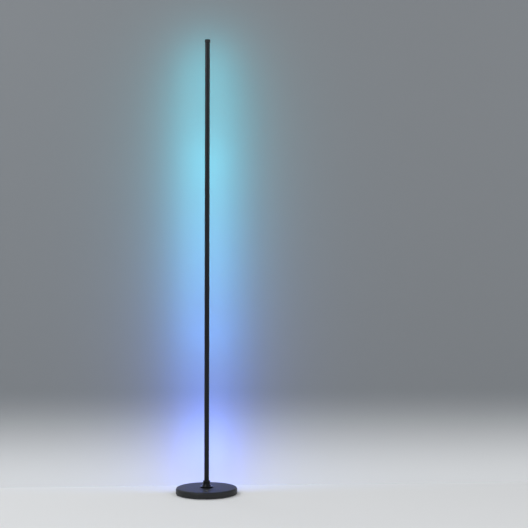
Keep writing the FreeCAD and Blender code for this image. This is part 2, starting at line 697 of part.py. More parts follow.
def make_light_strip():
    """The flexible strip on the channel's floor, its diodes, and the chips that drive them."""
    strip_top = f"({POLE_TOP} - sizes.strip_end_gap)"
    floor = "-sizes.web_setback"
    face = f"({floor} + sizes.strip_thickness)"
    half = "sizes.strip_width / 2"
    new_box(
        "light_strip", (f"-{half}", floor, "sizes.strip_start"), (half, face, strip_top)
    )
    new_box(
        "strip_connector",
        (f"-{half}", f"({floor} + sizes.close_gap)", CONNECTOR_LOW),
        (half, f"({floor} + sizes.connector_height)", "sizes.strip_start"),
    )

    pitch, start = number("sizes.diode_pitch"), number("sizes.strip_start")
    count = int((number(strip_top) - start) / pitch)
    side, tall = number("sizes.diode_side"), number("sizes.diode_height")
    y = number(face)
    centres = [start + (k + 0.5) * pitch for k in range(count)]
    diodes = [Part.makeBox(side, tall, side, Vector(-side / 2, y, z - side / 2)) for z in centres]
    new_group("light_diodes", diodes)

    # One chip drives three diodes, so it sits beside every third gap between them.
    long, wide = number("sizes.chip_length"), number("sizes.chip_width")
    thick = number("sizes.chip_height")
    gaps = [z + pitch / 2 for z in centres[:-1]]
    chips = [
        Part.makeBox(long, thick, wide, Vector(-long / 2, y, z - wide / 2)) for z in gaps[1::3]
    ]
    new_group("driver_chips", chips)


def make_end_cap():
    """A moulded cap over the pole's top end, slightly wider than the pole."""
    label = "end_cap"
    rim = "(sizes.overall_height - sizes.cap_height)"
    top = "sizes.overall_height"
    outside, bore = "(sizes.cap_diameter / 2)", f"({POLE_RADIUS} + sizes.close_gap)"
    body = turned_body(
        label,
        (
            ("0", POLE_TOP),
            (bore, POLE_TOP),
            (bore, rim),
            (outside, rim),
            (outside, top),
            ("0", top),
        ),
    )
    add_edge_feature(body, "Fillet", "cap_roof_edge", outside, top, "sizes.cap_round")
    add_edge_feature(body, "Chamfer", "cap_rim_edge", outside, rim, "sizes.cap_rim_chamfer")
    tongue = new_sketch(body, "XY_Plane", "cap_tongue_profile", POLE_TOP)
    draw_tongue(tongue)
    add_pad(body, tongue, "cap_tongue", "sizes.tenon_length", reverse=True)


# ---------------------------------------------------------------- the foot


def make_foot_pads():
    """Four rubber pads under the bottom plate."""
    radius, height = number("sizes.pad_radius"), number("sizes.pad_height")
    edge_break = number("sizes.edge_break")
    pads = []
    for place in around(number("sizes.pad_circle"), 4, 0, 0):
        pad = Part.makeCylinder(radius, height, place)
        pads.append(pad.makeChamfer(edge_break, [e for e in pad.Edges if seats_at(e, place)]))
    new_group("foot_pads", pads)


def make_bottom_plate():
    """A steel disc that closes the foot, with countersunk holes for four screws."""
    label = "bottom_plate"
    body = new_body(label)
    disc = new_sketch(body, "XY_Plane", "plate_disc", PLATE_LOW)
    draw_circle(disc, f"({SKIRT_INSIDE} - 3 * sizes.fit_gap)")
    add_pad(body, disc, "plate_blank", "sizes.plate_thickness")
    strap_holes = new_sketch(body, "XY_Plane", "strap_screw_holes", PLATE_LOW)
    for side in ("-", ""):
        draw_circle(strap_holes, M2_THREAD, f"{side}{STRAP_SCREW_X}", STRAP_SCREW_Y)
    add_pocket(body, strap_holes, "strap_screw_cut", reverse=True)

    # A countersink is turned about its own upright line, then repeated round the plate.
    cone = new_sketch(body, "XZ_Plane", "countersink_profile", DIAGONAL)
    cone.setExpression("AttachmentOffset.Base.x", DIAGONAL)
    low, top = PLATE_LOW, PLATE_TOP
    draw_outline(cone, (("0", low), (M4_SINK, low), (M4_THREAD, top), ("0", top)))
    DOCUMENT.recompute()
    before = body.Shape.Volume
    sunk = body.newObject("PartDesign::Groove", "countersink")
    sunk.Profile = cone
    sunk.ReferenceAxis = (cone, ["V_Axis"])
    sunk.Angle = 360
    DOCUMENT.recompute()
    if not sunk.Shape.Volume < before - SAME:
        raise RuntimeError("the countersink cuts nothing")
    add_ring_of(body, sunk, 4, "countersinks")


def make_weight():
    """An iron disc with windows for the control board, the leads and the power inlet."""
    label = "base_weight"
    body = new_body(label)
    disc = new_sketch(body, "XY_Plane", "weight_disc", PLATE_TOP)
    draw_circle(disc, "sizes.weight_radius")
    add_pad(body, disc, "weight_blank", "sizes.weight_thickness")
    window = new_sketch(body, "XY_Plane", "board_window", PLATE_TOP)
    side = "(sizes.board_width / 2 + sizes.window_margin)"
    front = "-(sizes.board_front + sizes.window_margin)"
    draw_rectangle(window, f"-{side}", side, front, "-sizes.window_back")
    add_pocket(body, window, "board_window_cut", reverse=True)
    well = new_sketch(body, "XY_Plane", "swivel_well", PLATE_TOP)
    draw_circle(well, "sizes.swivel_well")
    add_pocket(body, well, "swivel_well_cut", reverse=True)
    slot = new_sketch(body, "XY_Plane", "inlet_slot", PLATE_TOP)
    draw_rectangle(
        slot, "-sizes.slot_half", "sizes.slot_half", "sizes.window_back", "sizes.weight_radius + 1"
    )
    add_pocket(body, slot, "inlet_slot_cut", reverse=True)
    bolts = new_sketch(body, "XY_Plane", "weight_bolt_hole", PLATE_TOP)
    draw_circle(bolts, M4_HOLE, DIAGONAL, DIAGONAL)
    hole = add_pocket(body, bolts, "weight_bolt_cut", reverse=True)
    add_ring_of(body, hole, 4, "weight_bolts")


def make_cover():
    """The foot's steel pressing: a flat top, a rounded shoulder and an upright skirt."""
    label = "base_cover"
    hole, rim = "sizes.shank_hole", "sizes.cover_lift"
    # The inside of the bend is out of sight, so two flats stand for its arc.
    bend_x = f"({COVER_RADIUS} - sizes.base_round)"
    bend_z = "(sizes.base_height - sizes.base_round)"
    bend = "(sizes.base_round - sizes.sheet_thickness)"
    body = turned_body(
        label,
        (
            (hole, COVER_INSIDE),
            (bend_x, COVER_INSIDE),
            (f"({bend_x} + {bend} * cos(45 deg))", f"({bend_z} + {bend} * sin(45 deg))"),
            (SKIRT_INSIDE, bend_z),
            (SKIRT_INSIDE, rim),
            (COVER_RADIUS, rim),
            (COVER_RADIUS, "sizes.base_height"),
            (hole, "sizes.base_height"),
        ),
    )
    add_edge_feature(
        body, "Fillet", "cover_shoulder", COVER_RADIUS, "sizes.base_height", "sizes.base_round"
    )

    button = new_sketch(body, "XY_Plane", "button_hole", COVER_INSIDE)
    hole_radius = "(sizes.button_radius + sizes.button_clearance)"
    draw_circle(button, hole_radius, "0", "-sizes.button_offset")
    add_pocket(body, button, "button_hole_cut", reverse=True)

    inlet = new_sketch(body, "XZ_Plane", "inlet_opening")
    draw_circle(inlet, "sizes.inlet_hole", "0", "sizes.inlet_height")
    add_pocket(body, inlet, "inlet_opening_cut")

    screw = new_sketch(body, "XY_Plane", "collar_screw_hole", COVER_INSIDE)
    draw_circle(screw, M3_HOLE, "sizes.collar_circle", "0")
    hole = add_pocket(body, screw, "collar_screw_cut", reverse=True)
    add_ring_of(body, hole, 3, "collar_screw_holes")


def make_pillars():
    """Four threaded pillars welded inside the cover, which the foot's screws pull down on."""
    low, high = number(WEIGHT_TOP), number(COVER_INSIDE)
    radius, thread = number("sizes.pillar_radius"), number(M4_THREAD)
    depth = high - low - 0.8
    pillars = []
    for place in around(number("sizes.pillar_circle"), 4, 45, low):
        pillar = Part.makeCylinder(radius, high - low, place)
        pillars.append(pillar.cut(Part.makeCylinder(thread, depth, place)))
    new_group("cover_pillars", pillars)

    length = depth - 0.8 + low - number(PLATE_LOW)
    screws = [
        countersunk_screw(place, length, **M4_SCREW)
        for place in around(number("sizes.pillar_circle"), 4, 45, number(PLATE_LOW))
    ]
    new_group("base_screws", screws)


def make_collar():
    """A turned collar on the cover. Its neck guides the pole and its flange takes the screws."""
    label = "pole_collar"
    hole, neck, flange = "sizes.shank_hole", "sizes.collar_radius", "sizes.collar_flange"
    flange_top = "(sizes.base_height + sizes.flange_height)"
    body = turned_body(
        label,
        (
            (hole, "sizes.base_height"),
            (flange, "sizes.base_height"),
            (flange, flange_top),
            (f"({neck} + sizes.cone_spread)", flange_top),
            (neck, f"({flange_top} + sizes.collar_taper)"),
            (neck, COLLAR_TOP),
            ("sizes.bush_radius", COLLAR_TOP),
            ("sizes.bush_radius", COLLAR_INSIDE),
            (hole, COLLAR_INSIDE),
        ),
    )
    add_edge_feature(body, "Chamfer", "flange_edge", flange, flange_top, "2 * sizes.edge_break")
    add_edge_feature(body, "Chamfer", "neck_edge", neck, COLLAR_TOP, "sizes.edge_break")
    thread = new_sketch(body, "XY_Plane", "collar_thread", "sizes.base_height")
    draw_circle(thread, M3_THREAD, "sizes.collar_circle", "0")
    depth = "(sizes.flange_height - 0.8)"
    hole = add_pocket(body, thread, "collar_thread_cut", depth, reverse=True)
    add_ring_of(body, hole, 3, "collar_threads")

    length = number(f"sizes.sheet_thickness + {depth}") - 0.4
    screws = [
        pan_screw(place, UP, length, **M3_SCREW)
        for place in around(number("sizes.collar_circle"), 3, 0, number(COVER_INSIDE))
    ]
    new_group("collar_screws", screws)


def make_bush():
    """The collar's plastic liner. The pole stands on its floor, where the stop slot is."""
    label = "collar_bush"
    outside = "(sizes.bush_radius - sizes.close_gap)"
    inside = f"({POLE_RADIUS} + sizes.running_gap)"
    lip_top = f"({COLLAR_TOP} + sizes.bush_lip)"
    lip = "(sizes.collar_radius - sizes.lip_setback)"
    hole = "sizes.shank_hole"
    body = turned_body(
        label,
        (
            (hole, COLLAR_INSIDE),
            (outside, COLLAR_INSIDE),
            (outside, COLLAR_TOP),
            (lip, COLLAR_TOP),
            (lip, lip_top),
            (inside, lip_top),
            (inside, PLUG_LOW),
            (hole, PLUG_LOW),
        ),
    )
    add_edge_feature(body, "Chamfer", "lip_edge", lip, lip_top, "sizes.edge_break")

    # The slot is a ring on the stop pin's circle, left whole where the two stops are.
    slot = new_sketch(body, "XY_Plane", "stop_slot", COLLAR_INSIDE)
    gap = number("sizes.stop_radius + sizes.stop_gap")
    circle = number("sizes.stop_circle")
    half_turn = math.radians(number("sizes.swivel_half")) + gap / circle
    front = -math.pi / 2
    first, last = front - half_turn, front + half_turn
    arcs = []
    for radius in (circle - gap, circle + gap):
        arc = Part.ArcOfCircle(Part.Circle(Vector(0, 0, 0), UP, radius), first, last)
        arcs.append(slot.addGeometry(arc, False))
        slot.addConstraint(Sketcher.Constraint("Coincident", arcs[-1], 3, -1, 1))
    drive(slot, "Radius", (arcs[0],), "sizes.stop_circle - sizes.stop_radius - sizes.stop_gap")
    drive(slot, "Radius", (arcs[1],), "sizes.stop_circle + sizes.stop_radius + sizes.stop_gap")
    for end, angle in ((1, first), (2, last)):
        way = Vector(math.cos(angle), math.sin(angle), 0)
        stop = Part.LineSegment(way * (circle - gap), way * (circle + gap))
        line = slot.addGeometry(stop, False)
        slot.addConstraint(Sketcher.Constraint("Coincident", line, 1, arcs[0], end))
        slot.addConstraint(Sketcher.Constraint("Coincident", line, 2, arcs[1], end))
        slot.addConstraint(Sketcher.Constraint("PointOnObject", -1, 1, line))
        shift = (circle - gap) * math.cos(angle)
        index = slot.addConstraint(Sketcher.Constraint("DistanceX", -1, 1, line, 1, shift))
        sign = "-" if end == 1 else ""
        slot.setExpression(
            f"Constraints[{index}]",
            "(sizes.stop_circle - sizes.stop_radius - sizes.stop_gap) * "
            f"sin({sign}(sizes.swivel_half * 1 deg + (sizes.stop_radius + sizes.stop_gap)"
            " / sizes.stop_circle * 1 rad))",
        )
    add_pocket(body, slot, "stop_slot_cut", "sizes.bush_floor + 0.5", reverse=True)


# ---------------------------------------------------------------- electrics in the foot


def make_control_board():
    """The board, its standoffs and screws, and what is soldered on it."""
    label = "control_board"
    body = new_body(label)
    outline = new_sketch(body, "XY_Plane", "board_outline", BOARD_LOW)
    half = "sizes.board_width / 2"
    front, back = "-sizes.board_front", "-(sizes.board_front - sizes.board_length)"
    draw_rectangle(outline, f"-{half}", half, front, back)
    add_pad(body, outline, "board_blank", "sizes.board_thickness")
    fixings = new_sketch(body, "XY_Plane", "board_fixings", BOARD_LOW)
    fixing_x = f"({half} - sizes.board_inset)"
    fixing_ys = (f"({front} + sizes.board_inset)", f"({back} - sizes.board_inset)")
    for y in fixing_ys:
        for x in (f"-{fixing_x}", fixing_x):
            draw_circle(fixings, M2_HOLE, x, y)
    add_pocket(body, fixings, "board_fixing_cut", reverse=True)

    low, top, lift = number(PLATE_TOP), number(BOARD_TOP), number("sizes.board_lift")
    standoffs, screws = [], []
    for y in fixing_ys:
        for side in (-1, 1):
            foot = Vector(side * number(fixing_x), number(y), low)
            tube = Part.makeCylinder(2.5, lift, foot)
            standoffs.append(tube.cut(Part.makeCylinder(number(M2_THREAD), lift, foot)))
            seat = foot + UP * (top - low)
            screws.append(pan_screw(seat, -UP, 4.0, **M2_SCREW))
    new_group("board_standoffs", standoffs)
    new_group("board_screws", screws)


def on_board(x, behind, length, width, height, lift=0.0):
    """A block on the control board, placed from its middle line and its front edge."""
    y = behind - number("sizes.board_front")
    return block_solid(x, y, number(BOARD_TOP) + lift, length, width, height)


def make_board_parts():
    """Radio module, power parts and the two lead sockets."""
    module_thickness = MODULE_BOARD[-1]
    can = on_board(*MODULE_CAN, lift=module_thickness)
    new_group("radio_module", [on_board(*MODULE_BOARD), can])

    x, behind, radius, height = CAPACITOR
    foot = Vector(x, behind - number("sizes.board_front"), number(BOARD_TOP))
    capacitor = Part.makeCylinder(radius, height, foot)
    rim = [e for e in capacitor.Edges if seats_at(e, foot + UP * height)]
    capacitor = capacitor.makeChamfer(number("sizes.edge_break"), rim)
    transistors = [on_board(x, *TRANSISTOR) for x in TRANSISTOR_PLACES]
    new_group("power_parts", [capacitor, on_board(*CHOKE), on_board(*REGULATOR), *transistors])

    behind = number("sizes.board_length - sizes.socket_inset")
    spread = number("sizes.socket_spread")
    new_group("lead_sockets", [on_board(x, behind, *LEAD_SOCKET) for x in (-spread, spread)])


def make_button():
    """The push button in the cover, the switch under it, and the plunger between them."""
    face, stem = "sizes.button_radius", "sizes.stem_radius"
    flange = f"({face} + sizes.button_flange)"
    stem_low = f"({BOARD_TOP} + sizes.stem_low)"
    face_top = "(sizes.base_height + sizes.button_proud)"
    flange_top = f"({COVER_INSIDE} - sizes.button_gap)"
    flange_low = f"({flange_top} - sizes.flange_thickness)"
    label = "power_button"
    body = turned_body(
        label,
        (
            ("0", stem_low),
            (stem, stem_low),
            (stem, flange_low),
            (flange, flange_low),
            (flange, flange_top),
            (face, flange_top),
            (face, face_top),
            ("0", face_top),
        ),
    )
    add_edge_feature(body, "Chamfer", "button_edge", face, face_top, "sizes.edge_break")
    body.setExpression("Placement.Base.y", "-sizes.button_offset")

    side, tall = number("sizes.switch_side"), number("sizes.switch_height")
    foot = Vector(0, -number("sizes.button_offset"), number(BOARD_TOP))
    housing = block_solid(*foot, side, side, tall)
    floor = foot + UP * number("sizes.switch_floor")
    well = Part.makeCylinder(number("sizes.switch_well"), tall, floor)
    new_group("switch_housing", [housing.cut(well)])

    # The plunger is fixed to the stem, and stops short of the well's floor when it is pressed.
    rest = "(sizes.switch_floor + sizes.plunger_rest + sizes.button_travel)"
    plunger = DOCUMENT.addObject("Part::Cylinder", "switch_plunger")
    plunger.Label = "switch_plunger"
    plunger.setExpression("Radius", "sizes.plunger_radius")
    plunger.setExpression("Height", f"sizes.stem_low - {rest}")
    plunger.setExpression("Placement.Base.y", "-sizes.button_offset")
    plunger.setExpression("Placement.Base.z", f"{BOARD_TOP} + {rest}")


def make_inlet():
    """The power inlet behind the cover's skirt, its centre pin, and the strap over it."""
    label = "power_inlet"
    body = new_body(label)
    face = new_sketch(body, "XZ_Plane", "inlet_face", f"-{INLET_FRONT}")
    half = "sizes.inlet_width / 2"
    low, high = f"sizes.inlet_height - {half}", f"sizes.inlet_height + {half}"
    draw_rectangle(face, f"-{half}", half, low, high)
    add_pad(body, face, "inlet_housing", "sizes.inlet_length")
    socket = new_sketch(body, "XZ_Plane", "inlet_socket_face", f"-{INLET_FRONT}")
    draw_circle(socket, "sizes.inlet_socket", "0", "sizes.inlet_height")
    add_pocket(body, socket, "inlet_socket_cut", "sizes.inlet_depth", reverse=True)

    backwards = Vector(0, 1, 0)
    root = Vector(0, number(f"{INLET_FRONT} - sizes.inlet_depth"), number("sizes.inlet_height"))
    length = number("sizes.inlet_depth - sizes.pin_setback")
    pin = Part.makeCylinder(number("sizes.inlet_pin_radius"), length, root, backwards)
    tip = [e for e in pin.Edges if seats_at(e, root + backwards * length)]
    new_group("inlet_pin", [pin.makeChamfer(number("sizes.edge_break"), tip)])

    # The strap is a hat-shaped strip, bent over the housing and screwed down on both sides.
    label = "inlet_strap"
    body = new_body(label)
    hat = new_sketch(
        body, "XZ_Plane", "strap_profile", f"-({STRAP_SCREW_Y} + sizes.strap_width / 2)"
    )
    inner, outer = f"({half} + sizes.strap_gap)", STRAP_OUTSIDE
    foot = f"({outer} + sizes.strap_foot)"
    floor, foot_top = PLATE_TOP, f"({PLATE_TOP} + sizes.strap_thickness)"
    roof = f"({high} + sizes.strap_gap)"
    roof_top = f"({roof} + sizes.strap_thickness)"
    draw_outline(
        hat,
        (
            (f"-{foot}", floor),
            (f"-{inner}", floor),
            (f"-{inner}", roof),
            (inner, roof),
            (inner, floor),
            (foot, floor),
            (foot, foot_top),
            (outer, foot_top),
            (outer, roof_top),
            (f"-{outer}", roof_top),
            (f"-{outer}", foot_top),
            (f"-{foot}", foot_top),
        ),
    )
    add_pad(body, hat, "strap_bend", "sizes.strap_width")
    holes = new_sketch(body, "XY_Plane", "strap_holes", PLATE_TOP)
    for side in ("-", ""):
        draw_circle(holes, M2_HOLE, f"{side}{STRAP_SCREW_X}", STRAP_SCREW_Y)
    add_pocket(body, holes, "strap_hole_cut", reverse=True)

    x, y, seat = number(STRAP_SCREW_X), number(STRAP_SCREW_Y), number(foot_top)
    length = number("sizes.strap_thickness + sizes.plate_thickness") - 0.2
    screws = [pan_screw(Vector(side * x, y, seat), -UP, length, **M2_SCREW) for side in (-1, 1)]
    new_group("strap_screws", screws)


def make_leads():
    """Leads from the inlet to the board, from the board to the pole, and up the pole."""
    socket_reach = number("sizes.socket_inset") - LEAD_SOCKET[1] / 2
    back = -number("sizes.board_front - sizes.board_length") - socket_reach
    plug = number(BOARD_TOP) + LEAD_SOCKET[2] / 2
    side = number("sizes.socket_spread")
    inlet_rear = number(f"{INLET_FRONT} - sizes.inlet_length")
    inlet_axis = number("sizes.inlet_height")
    new_lead(
        "inlet_lead",
        "sizes.inlet_lead_radius",
        [
            Vector(0, inlet_rear, inlet_axis),
            Vector(0, inlet_rear - 14, inlet_axis),
            Vector(-7, 40, 7.2),
            Vector(-11, 4, 7.2),
            Vector(-side, -15, plug),
            Vector(-side, back, plug),
        ],
    )
    low = 6.2  # the least height of a lead's centre over the bottom plate, with room to bend
    meeting = 18.0  # inside the shank, where the turning lead takes over from the still one
    new_lead(
        "board_lead",
        "sizes.strip_lead_radius",
        [
            Vector(side, back, plug),
            Vector(side, -19, plug),
            Vector(4.8, -11, low),
            Vector(0, 0, low),
            Vector(0, 0, meeting),
        ],
    )
    offset = 0.75  # behind the axis, clear of the channel's floor
    new_lead(
        "strip_lead",
        "sizes.strip_lead_radius",
        [
            Vector(0, 0, meeting),
            Vector(0, 0, meeting + 3),
            Vector(0, offset, number(POLE_LOW) + 0.5),
            Vector(0, offset, number(CONNECTOR_LOW)),
        ],
    )


# ---------------------------------------------------------------- build, check and write

for place, name in enumerate(("pole_lower", "pole_middle", "pole_upper")):
    make_section(name, place)
for place, name in enumerate(("lower_joiner", "upper_joiner"), start=1):
    make_joiner(name, place)
make_joiner_screws()
make_foot_plug()
make_stop_pin()
make_swivel_nut()
make_diffuser()
make_light_strip()
make_end_cap()
make_foot_pads()
make_bottom_plate()
make_weight()
make_cover()
make_pillars()
make_collar()
make_bush()
make_control_board()
make_board_parts()
make_button()
make_inlet()
make_leads()
DOCUMENT.recompute()

for item in DOCUMENT.Objects:
    if any(word in item.State for word in ("Invalid", "Error")):
        raise RuntimeError(f"{item.Label} is in a failed state: {item.State}")

os.makedirs("parts", exist_ok=True)
PIECE_TYPES = ("PartDesign::Body", "Part::Feature", "Part::Box", "Part::Cylinder")
for item in DOCUMENT.Objects:
    if item.TypeId not in PIECE_TYPES:
        continue
    shape = item.Shape
    if shape.isNull() or not shape.isValid() or not shape.Solids:
        raise RuntimeError(f"{item.Label} has no valid solid")
    shape.exportStep(os.path.join("parts", f"{item.Label}.step"))
    print(f"{item.Label}: {len(shape.Solids)} solid(s), {shape.Volume / 1000:.2f} cm3")
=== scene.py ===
# %% [markdown]
# # A corner floor lamp, from its solids to its picture
#
# This lamp is a slim black pole that stands in the corner of a room and throws coloured light
# backwards. A separate program has built every piece as a solid at its real size. This lesson
# leaves those solids where they are and gives them what a picture needs: finishes that look
# like anodised aluminium, powder coat or rubber, the glow itself, a camera and a plain studio.

# %% Load the solids
import bpy
import json
import math
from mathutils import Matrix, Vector

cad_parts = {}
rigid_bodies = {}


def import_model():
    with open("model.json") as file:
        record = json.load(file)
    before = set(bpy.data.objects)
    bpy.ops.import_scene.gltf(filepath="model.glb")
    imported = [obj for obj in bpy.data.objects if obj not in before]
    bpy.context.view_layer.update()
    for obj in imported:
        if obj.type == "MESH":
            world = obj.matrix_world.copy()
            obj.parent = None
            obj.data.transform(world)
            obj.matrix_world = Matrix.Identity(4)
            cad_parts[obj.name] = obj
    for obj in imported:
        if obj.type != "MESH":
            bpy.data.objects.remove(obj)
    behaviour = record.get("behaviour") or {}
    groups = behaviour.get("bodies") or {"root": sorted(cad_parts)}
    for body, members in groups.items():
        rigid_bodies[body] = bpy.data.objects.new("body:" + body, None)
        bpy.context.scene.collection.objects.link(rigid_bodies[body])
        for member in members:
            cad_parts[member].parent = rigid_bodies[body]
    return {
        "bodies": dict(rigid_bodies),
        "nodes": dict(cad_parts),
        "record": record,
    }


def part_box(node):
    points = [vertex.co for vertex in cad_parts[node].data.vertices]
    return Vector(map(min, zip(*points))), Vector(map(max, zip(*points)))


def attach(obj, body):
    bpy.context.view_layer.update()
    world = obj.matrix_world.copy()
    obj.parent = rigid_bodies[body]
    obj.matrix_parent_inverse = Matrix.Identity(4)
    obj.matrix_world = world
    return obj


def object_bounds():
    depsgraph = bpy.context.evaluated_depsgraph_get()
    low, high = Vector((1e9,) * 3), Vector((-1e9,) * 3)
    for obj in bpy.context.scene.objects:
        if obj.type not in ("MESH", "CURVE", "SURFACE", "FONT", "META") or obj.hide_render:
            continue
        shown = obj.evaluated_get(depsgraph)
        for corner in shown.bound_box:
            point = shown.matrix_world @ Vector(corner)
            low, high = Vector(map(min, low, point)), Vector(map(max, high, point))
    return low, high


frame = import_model()
solid_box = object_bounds()
nodes = frame["nodes"]
print(len(nodes), "pieces, from", solid_box[0], "to", solid_box[1], "metres")

# %% [markdown]
# ## Small tools
#
# Screens show colours in sRGB, and Blender's shaders count in linear light. One function turns
# a hex colour, as a paint chart would give it, into linear numbers. Every shader here is made
# of nodes, and one more function adds a node with its settings and its inputs, so that a
# finish reads as a short list of what it is made of.


# %% Colours and nodes
def linear(hex_colour):
    """An sRGB hex colour as linear red, green, blue and alpha."""
    parts = [int(hex_colour[k:k + 2], 16) / 255 for k in (1, 3, 5)]
    return [p / 12.92 if p <= 0.04045 else ((p + 0.055) / 1.055) ** 2.4 for p in parts] + [1.0]


def add(tree, kind, inputs=None, **settings):
    """Adds a node. Each input takes a plain value or another node's output."""
    node = tree.nodes.new("ShaderNode" + kind)
    for name, value in settings.items():
        setattr(node, name, value)
    for name, value in (inputs or {}).items():
        if isinstance(value, bpy.types.NodeSocket):
            tree.links.new(value, node.inputs[name])
        else:
            node.inputs[name].default_value = value
    return node


print("mid grey is", round(linear("#808080")[0], 3), "in linear light")

# %% [markdown]
# ## The camera
#
# The photograph looks straight at the lamp from about three metres, through a long lens, with
# the camera a little over knee height: the lamp's cap is seen slightly from below and its
# sides hardly converge. The picture there is filled by the upper metre of the pole. Here the
# lens is a little shorter, so that the foot is in the picture too. The lamp keeps its place
# to the left of the middle, which a small turn of the camera gives.

# %% Aim the camera
IMAGE_SIDE = 528.0  # pixels, of the square picture
SENSOR_WIDTH = 36.0  # millimetres
FOCAL_PIXELS = 1007.0  # the focal length, counted in the picture's pixels
LAMP_COLUMN = 207.0  # where the pole stands in the picture, pixels from its left side
LAMP_TOP_ROW = 40.0  # where the cap ends, pixels from the picture's top
CAMERA_DISTANCE = 3.15  # metres in front of the pole
CAMERA_HEIGHT = 0.60  # metres above the floor

lamp_height = solid_box[1][2]
rise = math.atan((lamp_height - CAMERA_HEIGHT) / CAMERA_DISTANCE)
pitch = rise - math.atan((IMAGE_SIDE / 2 - LAMP_TOP_ROW) / FOCAL_PIXELS)
turn = math.atan((IMAGE_SIDE / 2 - LAMP_COLUMN) / FOCAL_PIXELS)

lens = bpy.data.cameras.new("camera")
lens.sensor_width = SENSOR_WIDTH
lens.lens = SENSOR_WIDTH * FOCAL_PIXELS / IMAGE_SIDE
camera = bpy.data.objects.new("camera", lens)
camera.location = (0.0, -CAMERA_DISTANCE, CAMERA_HEIGHT)
camera.rotation_euler = (math.pi / 2 + pitch, 0.0, -turn)
bpy.context.scene.collection.objects.link(camera)
bpy.context.scene.camera = camera
bpy.context.scene.view_settings.view_transform = "Standard"
print(f"lens {lens.lens:.1f} mm, tilted {math.degrees(pitch):.1f} degrees up")

# %% [markdown]
# ## The studio
#
# The floor is one large pale sheet, and a flat backdrop hangs close behind the lamp to catch
# the coloured light, as the walls of a corner would. Studios often use a graded backdrop: as
# pale as the floor where they meet, and mid grey above, so that a glow keeps its colour on it.
# Both could be boxes, but then their edges would show in some view. So both fade out with
# distance into a sky of the same tones, and the backdrop is clear from behind.

# %% Floor and backdrop
STUDIO_HALF = 12.0  # metres from the pole to each side of the studio
BACKDROP_DISTANCE = 0.14  # behind the pole's axis, with the foot's edge 45 mm in front of it
BACKDROP_HEIGHT = 6.0


def new_piece(name, points, faces):
    """A mesh object in the scene, from its points and faces."""
    mesh = bpy.data.meshes.new(name)
    mesh.from_pydata(points, [], faces)
    mesh.update()
    piece = bpy.data.objects.new(name, mesh)
    bpy.context.scene.collection.objects.link(piece)
    return piece


far = STUDIO_HALF
one_face = [(0, 1, 2, 3)]
floor = new_piece(
    "studio_floor", [(-far, -far, 0), (far, -far, 0), (far, far, 0), (-far, far, 0)], one_face
)
behind, top = BACKDROP_DISTANCE, BACKDROP_HEIGHT
backdrop = new_piece(
    "studio_backdrop",
    [(-far, behind, 0), (far, behind, 0), (far, behind, top), (-far, behind, top)],
    one_face,
)
backdrop.visible_shadow = False
backdrop.visible_diffuse = False  # it adds no light of its own to the floor or the lamp
print("the backdrop faces", tuple(round(n) for n in backdrop.data.polygons[0].normal))

# %% [markdown]
# The paint is matt, because a background looks clean when nothing in it shines. A map range
# node turns a distance into a share between 0 and 1, and that share mixes one tone with
# another, or a paint with the shader that takes its place far away: the even tone of the
# horizon for the floor, and nothing at all for the backdrop.

# %% Matt paint that fades
PALE_TONE = "#dfe1e3"
DEEP_TONE = "#7c8084"
HORIZON_SEEN = "#c9cbce"  # how the pale floor looks once it is lit
MATT_ROUGHNESS = 0.9
FLOOR_SPAN = (0.9, 3.0)  # metres from the lamp, where the floor starts to fade, and is gone
BACKDROP_SPAN = (1.2, 4.5)  # the same, sideways, for the backdrop
GRADE_SPAN = (0.0, 0.32)  # metres above the floor, where its tone goes from pale to deep


def share_of(tree, value, span):
    """How far a value has come along a span, from 0 to 1, with soft ends."""
    mapped = add(tree, "MapRange", {"Value": value, "From Min": span[0], "From Max": span[1]},
                 interpolation_type="SMOOTHSTEP")
    return mapped.outputs["Result"]


def matt_paint(name):
    """Pale matt paint, and the place of the point being painted."""
    paint = bpy.data.materials.new(name)
    paint.use_nodes = True
    shader = paint.node_tree.nodes["Principled BSDF"]
    shader.inputs["Base Color"].default_value = linear(PALE_TONE)
    shader.inputs["Roughness"].default_value = MATT_ROUGHNESS
    return paint, add(paint.node_tree, "TexCoord").outputs["Object"]


def replace_paint(paint, share, other):
    """Lets another shader take the paint's place by a share."""
    tree = paint.node_tree
    shader = tree.nodes["Principled BSDF"]
    mixed = add(tree, "MixShader", {0: share, 1: shader.outputs["BSDF"], 2: other})
    tree.links.new(mixed.outputs["Shader"], tree.nodes["Material Output"].inputs["Surface"])


print("matt paint of roughness", MATT_ROUGHNESS)

# %% [markdown]
# The floor's share is its distance from the lamp. The backdrop's tone goes by height, and it
# clears by the distance to either side, or at once where its back is seen. A material can tell
# front from back with the Geometry node.

# %% Paint the studio
floor_paint, place = matt_paint("matt_floor_paint")
tree = floor_paint.node_tree
distance = add(tree, "VectorMath", {0: place}, operation="LENGTH")
gone = share_of(tree, distance.outputs["Value"], FLOOR_SPAN)
horizon = add(tree, "Emission", {"Color": linear(HORIZON_SEEN)})
replace_paint(floor_paint, gone, horizon.outputs["Emission"])
floor.data.materials.append(floor_paint)

